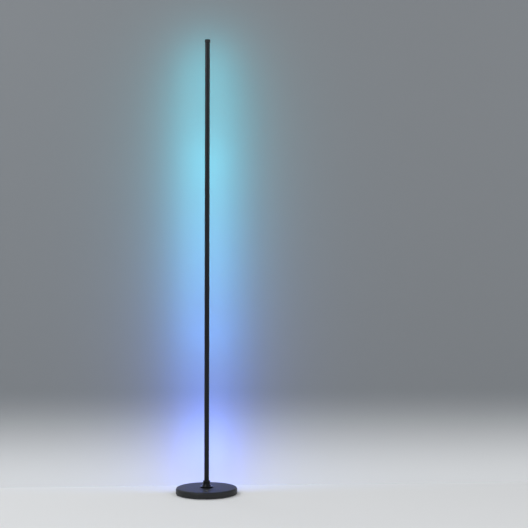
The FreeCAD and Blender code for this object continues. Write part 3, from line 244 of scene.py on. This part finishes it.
backdrop_paint, place = matt_paint("matt_backdrop_paint")
tree = backdrop_paint.node_tree
parts = add(tree, "SeparateXYZ", {"Vector": place})
risen = share_of(tree, parts.outputs["Z"], GRADE_SPAN)
grade = add(tree, "Mix", {0: risen, 6: linear(PALE_TONE), 7: linear(DEEP_TONE)}, data_type="RGBA")
tree.links.new(grade.outputs[2], tree.nodes["Principled BSDF"].inputs["Base Color"])
sideways = add(tree, "Math", {0: parts.outputs["X"]}, operation="ABSOLUTE")
either = add(tree, "Math", {
    0: share_of(tree, sideways.outputs["Value"], BACKDROP_SPAN),
    1: add(tree, "NewGeometry").outputs["Backfacing"],
}, operation="MAXIMUM")
nothing = add(tree, "BsdfTransparent")
replace_paint(backdrop_paint, either.outputs["Value"], nothing.outputs["BSDF"])
backdrop.data.materials.append(backdrop_paint)
print("painted from", PALE_TONE, "to", DEEP_TONE)

# %% [markdown]
# Soft light comes from the whole sky of the studio. The camera, and anything shiny, sees a
# graded sky in the tones of the lit floor and backdrop. What the sky gives as light is set apart
# from that, so that a colour on the lamp renders about as it is written.

# %% Sky
UPPER_SEEN = "#85898d"
SKY_SPAN = (0.0, 0.26)  # sine of the height above the horizon, where the tone changes
SKY_LIGHT = 0.52

world = bpy.data.worlds.new("studio_sky")
world.use_nodes = True
bpy.context.scene.world = world
tree = world.node_tree
ray = add(tree, "LightPath")
seen = add(tree, "Math", {0: ray.outputs["Is Camera Ray"], 1: ray.outputs["Is Glossy Ray"]},
           operation="MAXIMUM")
either = add(tree, "Math", {0: seen.outputs["Value"], 1: ray.outputs["Is Transmission Ray"]},
             operation="MAXIMUM")
direction = add(tree, "SeparateXYZ", {"Vector": add(tree, "TexCoord").outputs["Generated"]})
risen = share_of(tree, direction.outputs["Z"], SKY_SPAN)
tone = add(tree, "Mix", {0: risen, 6: linear(HORIZON_SEEN), 7: linear(UPPER_SEEN)}, data_type="RGBA")
shown = add(tree, "Background", {"Color": tone.outputs[2], "Strength": 1.0})
given = add(tree, "Background", {"Color": (1, 1, 1, 1), "Strength": SKY_LIGHT})
choice = add(tree, "MixShader", {
    0: either.outputs["Value"],
    1: given.outputs["Background"],
    2: shown.outputs["Background"],
})
tree.links.new(choice.outputs["Shader"], tree.nodes["World Output"].inputs["Surface"])
print("the sky gives", SKY_LIGHT, "and shows", HORIZON_SEEN, "to", UPPER_SEEN)

# %% [markdown]
# Three large lamps give the black pole its shape, as in a photographer's studio: a key from the
# front left, a weaker fill from the right, and one from behind that draws a fine edge. They are
# about as wide as the pole is tall, so their shadows are soft. The backdrop casts no shadow, so
# the light from behind passes through it.

# %% Studio lamps
STUDIO_LAMPS = (
    # name, place, what it aims at, side in metres, watts
    ("key_lamp", (-1.9, -2.3, 2.5), (0, 0, 0.6), 1.6, 46.0),
    ("fill_lamp", (2.3, -1.9, 1.7), (0, 0, 0.7), 1.8, 22.0),
    ("back_lamp", (-1.5, 2.2, 2.3), (0, 0, 0.6), 1.4, 22.0),
)


def new_lamp(name, size, watts, place):
    """A flat lamp that lights the scene without being seen."""
    light = bpy.data.lights.new(name, "AREA")
    light.shape = "RECTANGLE"
    light.size, light.size_y = size
    light.energy = watts
    lamp = bpy.data.objects.new(name, light)
    lamp.location = place
    lamp.visible_camera = False
    bpy.context.scene.collection.objects.link(lamp)
    return lamp


for name, place, target, side, watts in STUDIO_LAMPS:
    lamp = new_lamp(name, (side, side), watts, place)
    lamp.rotation_euler = (Vector(target) - Vector(place)).to_track_quat("-Z", "Y").to_euler()
print(len(STUDIO_LAMPS), "studio lamps")

# %% [markdown]
# ## How a finish is built
#
# A finish starts as plain numbers on one shader. Each slot of the solid model gets one, and a
# dictionary keeps them by their slots' names until the pieces are dressed.


# %% Plain finishes
def new_finish(name, colour, **sockets):
    """A material with one colour and plain numbers on its shader's own sockets."""
    material = bpy.data.materials.new(name)
    material.use_nodes = True
    inputs = material.node_tree.nodes["Principled BSDF"].inputs
    inputs["Base Color"].default_value = linear(colour)
    for socket, value in sockets.items():
        inputs[socket.replace("_", " ")].default_value = value
    return material


FINISHES = {}
slots = sorted({subpart["material_slot"] for subpart in frame["record"]["subparts"]})
print(len(slots), "finishes to make:", ", ".join(slots))

# %% [markdown]
# What makes a finish look real is how little of it is even: tone, shine and height all wander a
# bit, at sizes that tell how the surface was made. One function makes a soft random pattern
# from a size in millimetres, stretched where the tool that made the surface has stretched it.
# Another makes the fine rings of a lathe. Both are computed from the point's place, so they
# need no unwrapping and keep their real size on every piece.


# %% Patterns
def own_axes(tree):
    """X, Y and Z of the point being painted, in metres, in the piece's own frame."""
    place = add(tree, "TexCoord")
    return add(tree, "SeparateXYZ", {"Vector": place.outputs["Object"]}).outputs


def unevenness(material, across, along=None, detail=2.0):
    """A soft pattern, 0 to 1, with patches so many millimetres wide, and so long along Z."""
    tree = material.node_tree
    place = add(tree, "TexCoord")
    sizes = (across, across, along or across)
    sized = add(tree, "Mapping", {
        "Vector": place.outputs["Object"],
        "Scale": [1000 / size for size in sizes],
    })
    noise = add(tree, "TexNoise", {
        "Vector": sized.outputs["Vector"], "Scale": 1.0, "Detail": detail,
    })
    return noise.outputs["Fac"]


def lathe_rings(material, pitch):
    """Rings about the pole's axis, rising and falling once in so many millimetres."""
    tree = material.node_tree
    axes = own_axes(tree)
    flat = add(tree, "CombineXYZ", {"X": axes["X"], "Y": axes["Y"]})
    radius = add(tree, "VectorMath", {0: flat.outputs["Vector"]}, operation="LENGTH")
    travel = add(tree, "Math", {0: radius.outputs["Value"], 1: axes["Z"]}, operation="SUBTRACT")
    # Ping-pong rises over one unit and falls over the next, so each ring takes two.
    halves = add(tree, "Math", {0: travel.outputs["Value"], 1: 2000 / pitch}, operation="MULTIPLY")
    rings = add(tree, "Math", {0: halves.outputs["Value"], 1: 1.0}, operation="PINGPONG")
    return rings.outputs["Value"]


print("patterns:", unevenness.__name__, "and", lathe_rings.__name__)

# %% [markdown]
# One last function lets a pattern vary a finish, in tone, roughness or height. It can be called
# more than once: a second relief is laid over the first, and a second pattern for the tone or
# the roughness takes the first one's place.


# %% Vary a finish
def vary(material, pattern, tones=None, roughness=None, depth=None):
    """Lets a pattern vary the tone, the roughness or the height, in millimetres, of a finish."""
    tree = material.node_tree
    shader = tree.nodes["Principled BSDF"]
    if tones:
        low, high = tones
        tone = add(tree, "Mix", {0: pattern, 6: linear(low), 7: linear(high)}, data_type="RGBA")
        tree.links.new(tone.outputs[2], shader.inputs["Base Color"])
    if roughness:
        smooth, rough = roughness
        span = add(tree, "MapRange", {"Value": pattern, "To Min": smooth, "To Max": rough})
        tree.links.new(span.outputs["Result"], shader.inputs["Roughness"])
    if depth:
        relief = add(tree, "Bump", {"Height": pattern, "Distance": depth / 1000})
        for link in shader.inputs["Normal"].links:
            tree.links.new(link.from_socket, relief.inputs["Normal"])
        tree.links.new(relief.outputs["Normal"], shader.inputs["Normal"])


print("a pattern can vary the tone, the roughness and the height")

# %% [markdown]
# ## The pole: black anodised aluminium
#
# Aluminium is pressed through a die into long slotted lengths, and its skin is then grown
# into oxide and dyed black. The metal below gives a dark, satin reflection. The clear top of
# the oxide is a thin ceramic with an IOR near 1.65, and a coat on the shader gives its softer,
# whiter shine. The die leaves hair-fine lines along the length. Real ones are under a tenth of
# a millimetre apart, so they are drawn coarser here, to show at all.

# %% Anodised extrusion
OXIDE_FILM = {"Coat_Weight": 0.2, "Coat_Roughness": 0.32, "Coat_IOR": 1.65}
DIE_LINE_WIDTH, DIE_LINE_LENGTH = 0.6, 150.0  # millimetres

extrusion = new_finish(
    "black_anodised_aluminium", "#1d1e20", Metallic=1.0, Roughness=0.42, **OXIDE_FILM
)
vary(extrusion, unevenness(extrusion, 35.0, 90.0), tones=("#191a1c", "#222326"))
die_lines = unevenness(extrusion, DIE_LINE_WIDTH, DIE_LINE_LENGTH)
vary(extrusion, die_lines, roughness=(0.34, 0.52), depth=0.02)
FINISHES["anodised_aluminium"] = extrusion
print("die lines", DIE_LINE_WIDTH, "mm wide and about", DIE_LINE_LENGTH, "mm long")

# %% [markdown]
# The collar has the same black skin on a turned part. A lathe leaves rings instead of lines,
# and they make a highlight spread across the part. Its feed of 0.15 mm is drawn as 0.5 mm.

# %% Anodised turning
COLLAR_FEED = 0.5  # millimetres

turning = new_finish(
    "black_anodised_turning", "#1e1f21", Metallic=1.0, Roughness=0.36, **OXIDE_FILM
)
vary(turning, lathe_rings(turning, COLLAR_FEED), roughness=(0.3, 0.42), depth=0.006)
vary(turning, unevenness(turning, 9.0), tones=("#1a1b1d", "#232427"))
FINISHES["anodised_collar"] = turning
print("lathe rings", COLLAR_FEED, "mm apart")

# %% [markdown]
# The bars that join the lengths, and the plug in the pole's foot, are the same metal left
# bare: a bright, nearly neutral grey, streaked along the pressing.

# %% Bare aluminium
bare = new_finish("mill_finish_aluminium", "#c8cacb", Metallic=1.0, Roughness=0.34)
vary(bare, unevenness(bare, 0.8, 60.0), tones=("#bbbdbf", "#d2d3d4"), roughness=(0.26, 0.44))
FINISHES["plain_aluminium"] = bare
print("finishes so far:", ", ".join(FINISHES))

# %% [markdown]
# ## The end cap: moulded ABS
#
# The cap is injection moulded. The mould was etched, which leaves a fine matt grain that hides
# fingerprints. The pattern for it has patches of 0.6 mm, which the detail of the noise breaks
# into finer ones. ABS has an IOR near 1.54, but the pits of the grain swallow part of its shine,
# and a lower specular level stands for that.

# %% Moulded ABS
GRAIN_SIZE = 0.6  # millimetres

abs_plastic = new_finish(
    "black_abs", "#141516", Roughness=0.6, IOR=1.54, Specular_IOR_Level=0.35
)
grain = unevenness(abs_plastic, GRAIN_SIZE, detail=3.0)
vary(abs_plastic, grain, roughness=(0.52, 0.7), depth=0.02)
vary(abs_plastic, unevenness(abs_plastic, 6.0), tones=("#121314", "#18191a"))
FINISHES["black_abs"] = abs_plastic
print("moulded grain of", GRAIN_SIZE, "mm")

# %% [markdown]
# ## The foot: powder coat
#
# The foot's steel pressing is sprayed with charged powder and baked. The powder melts into a
# thick film that never flows quite flat, so reflections break up in small soft waves, like
# the peel of an orange, 1 to 2 mm apart. A fine grit keeps it matt.

# %% Powder coat
PEEL_SIZE, GRIT_SIZE = 1.7, 0.45  # millimetres

powder = new_finish(
    "black_powder_coat", "#1b1c1e", Roughness=0.54, IOR=1.5, Specular_IOR_Level=0.4
)
vary(powder, unevenness(powder, PEEL_SIZE), roughness=(0.46, 0.62), depth=0.035)
grit = unevenness(powder, GRIT_SIZE, detail=3.0)
vary(powder, grit, tones=("#17181a", "#212224"), depth=0.008)
FINISHES["powder_coat"] = powder
print("orange peel of", PEEL_SIZE, "mm and grit of", GRIT_SIZE, "mm")

# %% [markdown]
# ## The diffuser: opal silicone that glows
#
# The back of the pole is one long strip of milky silicone. It hides the diodes and spreads
# their light, so it is the brightest thing on the lamp. The colours follow the
# photograph: teal at the top, sky blue in the middle and blue-violet near the floor. A colour
# ramp along the height carries them, which is easier to adjust than an image of a gradient.

# %% Opal silicone
GLOW = (
    # share of the diffuser's length, from its lower end, and colour of the light
    (0.00, "#4a63f2"),
    (0.22, "#4f7df4"),
    (0.48, "#55b2ee"),
    (0.72, "#4cc8dd"),
    (1.00, "#2fb4bf"),
)
lit_low, lit_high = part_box("diffuser")

opal = new_finish("opal_silicone", "#dfe6ea", Roughness=0.5, IOR=1.41)
tree = opal.node_tree
axes = own_axes(tree)
share = add(tree, "MapRange", {
    "Value": axes["Z"], "From Min": lit_low[2], "From Max": lit_high[2],
})
ramp = add(tree, "ValToRGB", {"Fac": share.outputs["Result"]})
stops = ramp.color_ramp.elements
while len(stops) < len(GLOW):
    stops.new(0.5)
for stop, (height, colour) in zip(stops, GLOW):
    stop.position = height
    stop.color = linear(colour)
shader = tree.nodes["Principled BSDF"]
tree.links.new(ramp.outputs["Color"], shader.inputs["Emission Color"])
FINISHES["opal_silicone"] = opal
print("the diffuser glows from", round(lit_low[2], 3), "to", round(lit_high[2], 3))

# %% [markdown]
# Milky plastic never hides the diodes completely, so the glow swells a little over each of
# them, every 16.6 mm, and fades towards the two lips that hold the diffuser in the pole. A
# cosine of the height gives the swells without a picture of them.

# %% Swell of the glow
DIODE_PITCH = 0.0166
SWELL = (0.82, 1.05)  # strength of the glow between two diodes, and over one
LIP_GLOW = 0.35  # share of the strength that is left at the lips
LIP_PLACE = 0.003  # metres behind the pole's axis

strip_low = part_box("light_strip")[0][2]
above = add(tree, "Math", {0: axes["Z"], 1: strip_low}, operation="SUBTRACT")
phase = add(tree, "Math", {0: above.outputs["Value"], 1: 2 * math.pi / DIODE_PITCH},
            operation="MULTIPLY")
wave = add(tree, "Math", {0: phase.outputs["Value"]}, operation="COSINE")
swell = add(tree, "MapRange", {
    "Value": wave.outputs["Value"], "From Min": 1.0, "From Max": -1.0,
    "To Min": SWELL[0], "To Max": SWELL[1],
})
lips = add(tree, "MapRange", {
    "Value": axes["Y"], "From Min": LIP_PLACE, "From Max": lit_high[1],
    "To Min": LIP_GLOW, "To Max": 1.0,
}, interpolation_type="SMOOTHSTEP")
strength = add(tree, "Math", {0: swell.outputs["Result"], 1: lips.outputs["Result"]},
               operation="MULTIPLY")
tree.links.new(strength.outputs["Value"], shader.inputs["Emission Strength"])
print("the glow's strength goes from", SWELL[0], "to", SWELL[1])

# %% [markdown]
# A glowing surface this narrow lights its surroundings only in specks, until a picture has
# had a long time to render. So the light itself comes from slim lamps just behind the diffuser,
# which the camera can't see. They ride on the pole and turn with it. In a dark room this glow
# outshines all else; in a bright studio it needs a push to show its colour. A second row of
# lamps gives that, and light linking keeps it to the floor and the backdrop, so that the lamp's
# own finishes take on no more colour than the first row gives them.

# %% Light from the diffuser
GLOW_LAMPS = 12
GLOW_RADIANCE = 28.0  # brightness of the first row
STUDIO_PUSH = 90.0  # and of the second
PUSH_FROM = 4  # lamps, counted from the floor, over which the push comes in on the pale tones
LAMP_GAP = 0.001  # metres from the diffuser to the lamps behind it
diffuser_width = lit_high[0] - lit_low[0]
glow_length = (lit_high[2] - lit_low[2]) / GLOW_LAMPS
glow_area = diffuser_width * glow_length
studio_only = bpy.data.collections.new("studio_surfaces")
studio_only.objects.link(floor)
studio_only.objects.link(backdrop)


def glow_at(height):
    """The colour of the light at a share of the diffuser's length, from its lower end."""
    for (low, below), (high, over) in zip(GLOW, GLOW[1:]):
        if height <= high:
            mix = (height - low) / (high - low)
            return [a + (b - a) * mix for a, b in zip(linear(below), linear(over))][:3]
    raise ValueError(height)


for row, radiance in (("glow", GLOW_RADIANCE), ("pushed_glow", STUDIO_PUSH)):
    for index in range(GLOW_LAMPS):
        middle = lit_low[2] + (index + 0.5) * glow_length
        watts = radiance * math.pi * glow_area
        if row == "pushed_glow":
            watts *= min(1.0, (index + 1) / PUSH_FROM)
        lamp = new_lamp(f"{row}_{index}", (diffuser_width, glow_length), watts,
                        (0.0, lit_high[1] + LAMP_GAP, middle))
        lamp.data.color = glow_at((index + 0.5) / GLOW_LAMPS)
        lamp.rotation_euler = (math.pi / 2, 0.0, 0.0)
        lamp.parent = frame["bodies"]["pole"]
        if row == "pushed_glow":
            lamp.light_linking.receiver_collection = studio_only
print(2 * GLOW_LAMPS, "lamps, each", round(1000 * glow_length), "mm long")

# %% [markdown]
# ## Plastics and rubber of the foot
#
# The collar's liner is acetal, a slippery plastic with a waxy shine. The button is
# polycarbonate with a satin mould finish. The power inlet is nylon filled with glass fibre,
# which leaves the surface dull and faintly streaked. The pads are rubber: deep black, dry and
# slightly dusty.

# %% Black plastics and rubber
acetal = new_finish("black_acetal", "#1a1a1b", Roughness=0.38, IOR=1.48)
vary(acetal, lathe_rings(acetal, 0.4), roughness=(0.32, 0.46), depth=0.004)
vary(acetal, unevenness(acetal, 4.0), tones=("#171718", "#1f1f20"))
FINISHES["black_acetal"] = acetal

satin = new_finish("satin_polycarbonate", "#2a2b2e", Roughness=0.4, IOR=1.58)
vary(satin, unevenness(satin, 0.5, detail=3.0), roughness=(0.34, 0.48), depth=0.01)
vary(satin, unevenness(satin, 5.0), tones=("#262729", "#2f3033"))
FINISHES["button_plastic"] = satin

inlet_nylon = new_finish("glass_filled_nylon", "#1c1c1d", Roughness=0.6, IOR=1.53)
vary(inlet_nylon, unevenness(inlet_nylon, 0.4, 2.5), tones=("#171718", "#242425"), depth=0.01)
FINISHES["inlet_plastic"] = inlet_nylon

rubber = new_finish("moulded_rubber", "#1c1c1c", Roughness=0.82, IOR=1.52)
vary(rubber, unevenness(rubber, 0.9, detail=3.0), tones=("#151515", "#272726"), depth=0.05)
vary(rubber, unevenness(rubber, 7.0), roughness=(0.72, 0.92))
FINISHES["rubber"] = rubber

jacket = new_finish("soft_pvc_jacket", "#1b1b1c", Roughness=0.45, IOR=1.53)
wrinkles = unevenness(jacket, 1.5)
vary(jacket, wrinkles, tones=("#171718", "#212122"), roughness=(0.38, 0.54), depth=0.02)
FINISHES["lead_jacket"] = jacket
print("finishes so far:", ", ".join(FINISHES))

# %% [markdown]
# ## Steels and other metals of the foot
#
# Each metal here is told apart by its tint and by how it was made. Zinc plate is bluish and
# clouded, and shows the rolling of the sheet. Nickel is warmer and smoother. Black oxide is
# steel that was blackened in a hot bath, with an oily sheen. A metal keeps the default IOR.

# %% Steels
zinc = new_finish("zinc_plated_steel", "#b4babf", Metallic=1.0, Roughness=0.36)
clouds = unevenness(zinc, 14.0, detail=3.0)
vary(zinc, clouds, tones=("#a4abb1", "#c3c6c4"), roughness=(0.28, 0.46))
vary(zinc, unevenness(zinc, 0.5, 40.0), depth=0.008)
FINISHES["zinc_steel"] = zinc

nickel = new_finish("nickel_plated_steel", "#bdb9b2", Metallic=1.0, Roughness=0.28)
vary(nickel, unevenness(nickel, 1.2), tones=("#b0aca5", "#c9c5be"), roughness=(0.2, 0.38))
FINISHES["plain_steel"] = nickel

oxide = new_finish("black_oxide_steel", "#232427", Metallic=1.0, Roughness=0.4)
stains = unevenness(oxide, 0.8)
vary(oxide, stains, tones=("#1d1e20", "#2d2e31"), roughness=(0.32, 0.52), depth=0.01)
FINISHES["black_steel"] = oxide
print("finishes so far:", ", ".join(FINISHES))

# %% [markdown]
# The nut is turned brass, and the inlet's pin is brass under nickel, a little warmer than
# nickel on steel. The weight is cast in sand, which leaves a rough grey skin. The can over the
# radio is tinned sheet, dull and faintly clouded.

# %% Brass, iron and tin
brass = new_finish("turned_brass", "#c2a05c", Metallic=1.0, Roughness=0.26)
rings = lathe_rings(brass, 0.4)
vary(brass, rings, tones=("#b8954f", "#cdac69"), roughness=(0.2, 0.34), depth=0.006)
FINISHES["brass"] = brass

pin_metal = new_finish("nickel_plated_brass", "#c9c2b2", Metallic=1.0, Roughness=0.22)
vary(pin_metal, unevenness(pin_metal, 0.7), tones=("#beb7a6", "#d3ccbd"), roughness=(0.16, 0.3))
FINISHES["nickel_pin"] = pin_metal

iron = new_finish("sand_cast_iron", "#4c4b49", Metallic=1.0, Roughness=0.72)
vary(iron, unevenness(iron, 1.3, detail=4.0), tones=("#3b3a39", "#5d5b58"), depth=0.25)
vary(iron, unevenness(iron, 18.0), roughness=(0.6, 0.85))
FINISHES["cast_iron"] = iron

tin = new_finish("tinned_steel", "#bfbdb6", Metallic=1.0, Roughness=0.34)
vary(tin, unevenness(tin, 3.0, detail=3.0), tones=("#b0aea7", "#cbc9c3"), roughness=(0.26, 0.46))
FINISHES["tinned_steel"] = tin
print(len(FINISHES), "finishes so far")

# %% [markdown]
# ## Electrics
#
# The strip of diodes is a white printed film, and a copper line across it every three diodes
# shows where it may be cut. The lines repeat along the strip, so a saw tooth of the height
# draws them all, where a painted image would need a file.

# %% Film of the strip
CUT_EVERY = 3  # diodes
CUT_LINE_SHARE = 0.02  # of the length from one line to the next

film = new_finish("white_printed_film", "#e4e2dc", Roughness=0.5, IOR=1.5)
tree = film.node_tree
above = add(tree, "Math", {0: own_axes(tree)["Z"], 1: strip_low}, operation="SUBTRACT")
lengths = add(tree, "Math", {0: above.outputs["Value"], 1: 1 / (CUT_EVERY * DIODE_PITCH)},
              operation="MULTIPLY")
saw = add(tree, "Math", {0: lengths.outputs["Value"]}, operation="FRACT")
cut_line = add(tree, "Math", {0: saw.outputs["Value"], 1: CUT_LINE_SHARE}, operation="LESS_THAN")
vary(film, cut_line.outputs["Value"], tones=("#e4e2dc", "#b9824e"))
vary(film, unevenness(film, 3.0), roughness=(0.42, 0.6), depth=0.02)
FINISHES["strip_film"] = film
print("a cutting line every", round(1000 * CUT_EVERY * DIODE_PITCH, 1), "mm")

# %% [markdown]
# A diode is a white square with a round window of yellow phosphor. The height within one
# spacing, and X, give the distance from the middle of the nearest diode, and that distance
# tells window from rim.

# %% Diodes
PHOSPHOR_RADIUS = 0.0019  # metres

diode = new_finish("diode_with_phosphor", "#e9e6da", Roughness=0.3, IOR=1.5)
tree = diode.node_tree
axes = own_axes(tree)
above = add(tree, "Math", {0: axes["Z"], 1: strip_low}, operation="SUBTRACT")
own = add(tree, "Math", {0: above.outputs["Value"], 1: DIODE_PITCH}, operation="MODULO")
middle = add(tree, "Math", {0: own.outputs["Value"], 1: DIODE_PITCH / 2}, operation="SUBTRACT")
flat = add(tree, "CombineXYZ", {"X": axes["X"], "Y": middle.outputs["Value"]})
radius = add(tree, "VectorMath", {0: flat.outputs["Vector"]}, operation="LENGTH")
window = add(tree, "Math", {0: radius.outputs["Value"], 1: PHOSPHOR_RADIUS}, operation="LESS_THAN")
vary(diode, window.outputs["Value"], tones=("#e9e6da", "#e6c832"))
FINISHES["diode_package"] = diode
print("a window", round(2000 * PHOSPHOR_RADIUS, 1), "mm across on each diode")

# %% [markdown]
# The board is glass epoxy under green lacquer, and the copper tracks show through it as a
# slightly paler green. Its chips are moulded in black epoxy, and its sockets in white nylon.
# Nobody sees the real tracks inside the foot, so the edges of a cell pattern stand for them.

# %% Board, chips and connectors
TRACK_SPACING = 4.0  # millimetres
TRACK_SHARE = 0.06  # half a track's width, as a share of the spacing

board = new_finish("lacquered_circuit_board", "#0f4a2a", Roughness=0.35, IOR=1.5)
tree = board.node_tree
place = add(tree, "TexCoord")
sized = add(tree, "Mapping", {
    "Vector": place.outputs["Object"], "Scale": [1000 / TRACK_SPACING] * 3,
})
tracks = add(tree, "TexVoronoi", {"Vector": sized.outputs["Vector"], "Scale": 1.0},
             feature="DISTANCE_TO_EDGE")
track = add(tree, "Math", {0: tracks.outputs["Distance"], 1: TRACK_SHARE}, operation="LESS_THAN")
vary(board, track.outputs["Value"], tones=("#0f4327", "#1f6b3c"), depth=0.03)
FINISHES["circuit_board"] = board

epoxy = new_finish("moulded_epoxy", "#1d1d1f", Roughness=0.6, IOR=1.55)
vary(epoxy, unevenness(epoxy, 0.4, detail=3.0), tones=("#18181a", "#252527"), depth=0.01)
FINISHES["black_epoxy"] = epoxy

nylon = new_finish("white_nylon", "#dcd8cc", Roughness=0.5, IOR=1.53)
clouds = unevenness(nylon, 2.0)
vary(nylon, clouds, tones=("#d5d1c4", "#e3e0d5"), roughness=(0.42, 0.6), depth=0.01)
FINISHES["white_nylon"] = nylon
print(len(FINISHES), "finishes, for", len(slots), "slots")

# %% [markdown]
# ## Dress the solids
#
# The solid model says which finish each piece takes, so one loop dresses them all.

# %% Finishes onto pieces
for subpart in frame["record"]["subparts"]:
    mesh = nodes[subpart["node"]].data
    mesh.materials.clear()
    mesh.materials.append(FINISHES[subpart["material_slot"]])

# %% [markdown]
# ## The mark on the button
#
# Push buttons of this kind carry the plain sign for power: a broken ring with a bar in the gap.
# Here it is moulded through the button in white, so it never wears off, and stands a few
# hundredths of a millimetre proud. It could be painted by a material, but a thin solid strip
# keeps a crisp edge from every side. One function gives a line on the button its width and
# height.

# %% A strip along a line
MARK_RADIUS = 0.0023  # metres, as the next four
MARK_WIDTH = 0.00055
MARK_PROUD = 0.00004
MARK_DEPTH = 0.0002
BAR_SPAN = (0.0007, 0.0031)  # from the button's middle
RING_GAP = math.radians(38)  # from the middle of the gap to each end of the ring
RING_STEPS = 36


def strip_along(line, low, high):
    """Points and faces of a closed strip along a flat line, between two heights."""
    points, faces = [], []
    for index, here in enumerate(line):
        before, after = line[max(index - 1, 0)], line[min(index + 1, len(line) - 1)]
        way = (after - before).normalized()
        across = Vector((-way.y, way.x)) * MARK_WIDTH / 2
        for side, z in ((1, low), (1, high), (-1, high), (-1, low)):
            points.append((here.x + side * across.x, here.y + side * across.y, z))
    for start in range(0, len(points) - 4, 4):
        for edge in range(4):
            corner, following = start + edge, start + (edge + 1) % 4
            faces.append((corner, corner + 4, following + 4, following))
    last = len(points) - 4
    faces += [(0, 1, 2, 3), (last + 3, last + 2, last + 1, last)]
    return points, faces


print("strips", round(1000 * MARK_WIDTH, 2), "mm wide")

# %% [markdown]
# The sign stands upright for someone in front of the lamp, so the gap of the ring and the bar
# are on the pole's side. The mark rides on the button, which carries it down when it is pressed.

# %% Power mark
button_low, button_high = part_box("power_button")
middle = (Vector(button_low) + Vector(button_high)).to_2d() / 2
open_turn = 2 * math.pi - 2 * RING_GAP
turns = [math.pi / 2 + RING_GAP + open_turn * step / RING_STEPS for step in range(RING_STEPS + 1)]
ring = [middle + MARK_RADIUS * Vector((math.cos(turn), math.sin(turn))) for turn in turns]
bar = [middle + Vector((0.0, reach)) for reach in BAR_SPAN]
mark_low, mark_high = button_high[2] - MARK_DEPTH, button_high[2] + MARK_PROUD
points, faces = [], []
for line in (ring, bar):
    more_points, more_faces = strip_along(line, mark_low, mark_high)
    faces += [tuple(len(points) + corner for corner in face) for face in more_faces]
    points += more_points
mark = new_piece("power_mark", points, faces)
mark.data.materials.append(FINISHES["white_nylon"])
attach(mark, "button")
print("the mark is", round(2000 * MARK_RADIUS, 1), "mm across")
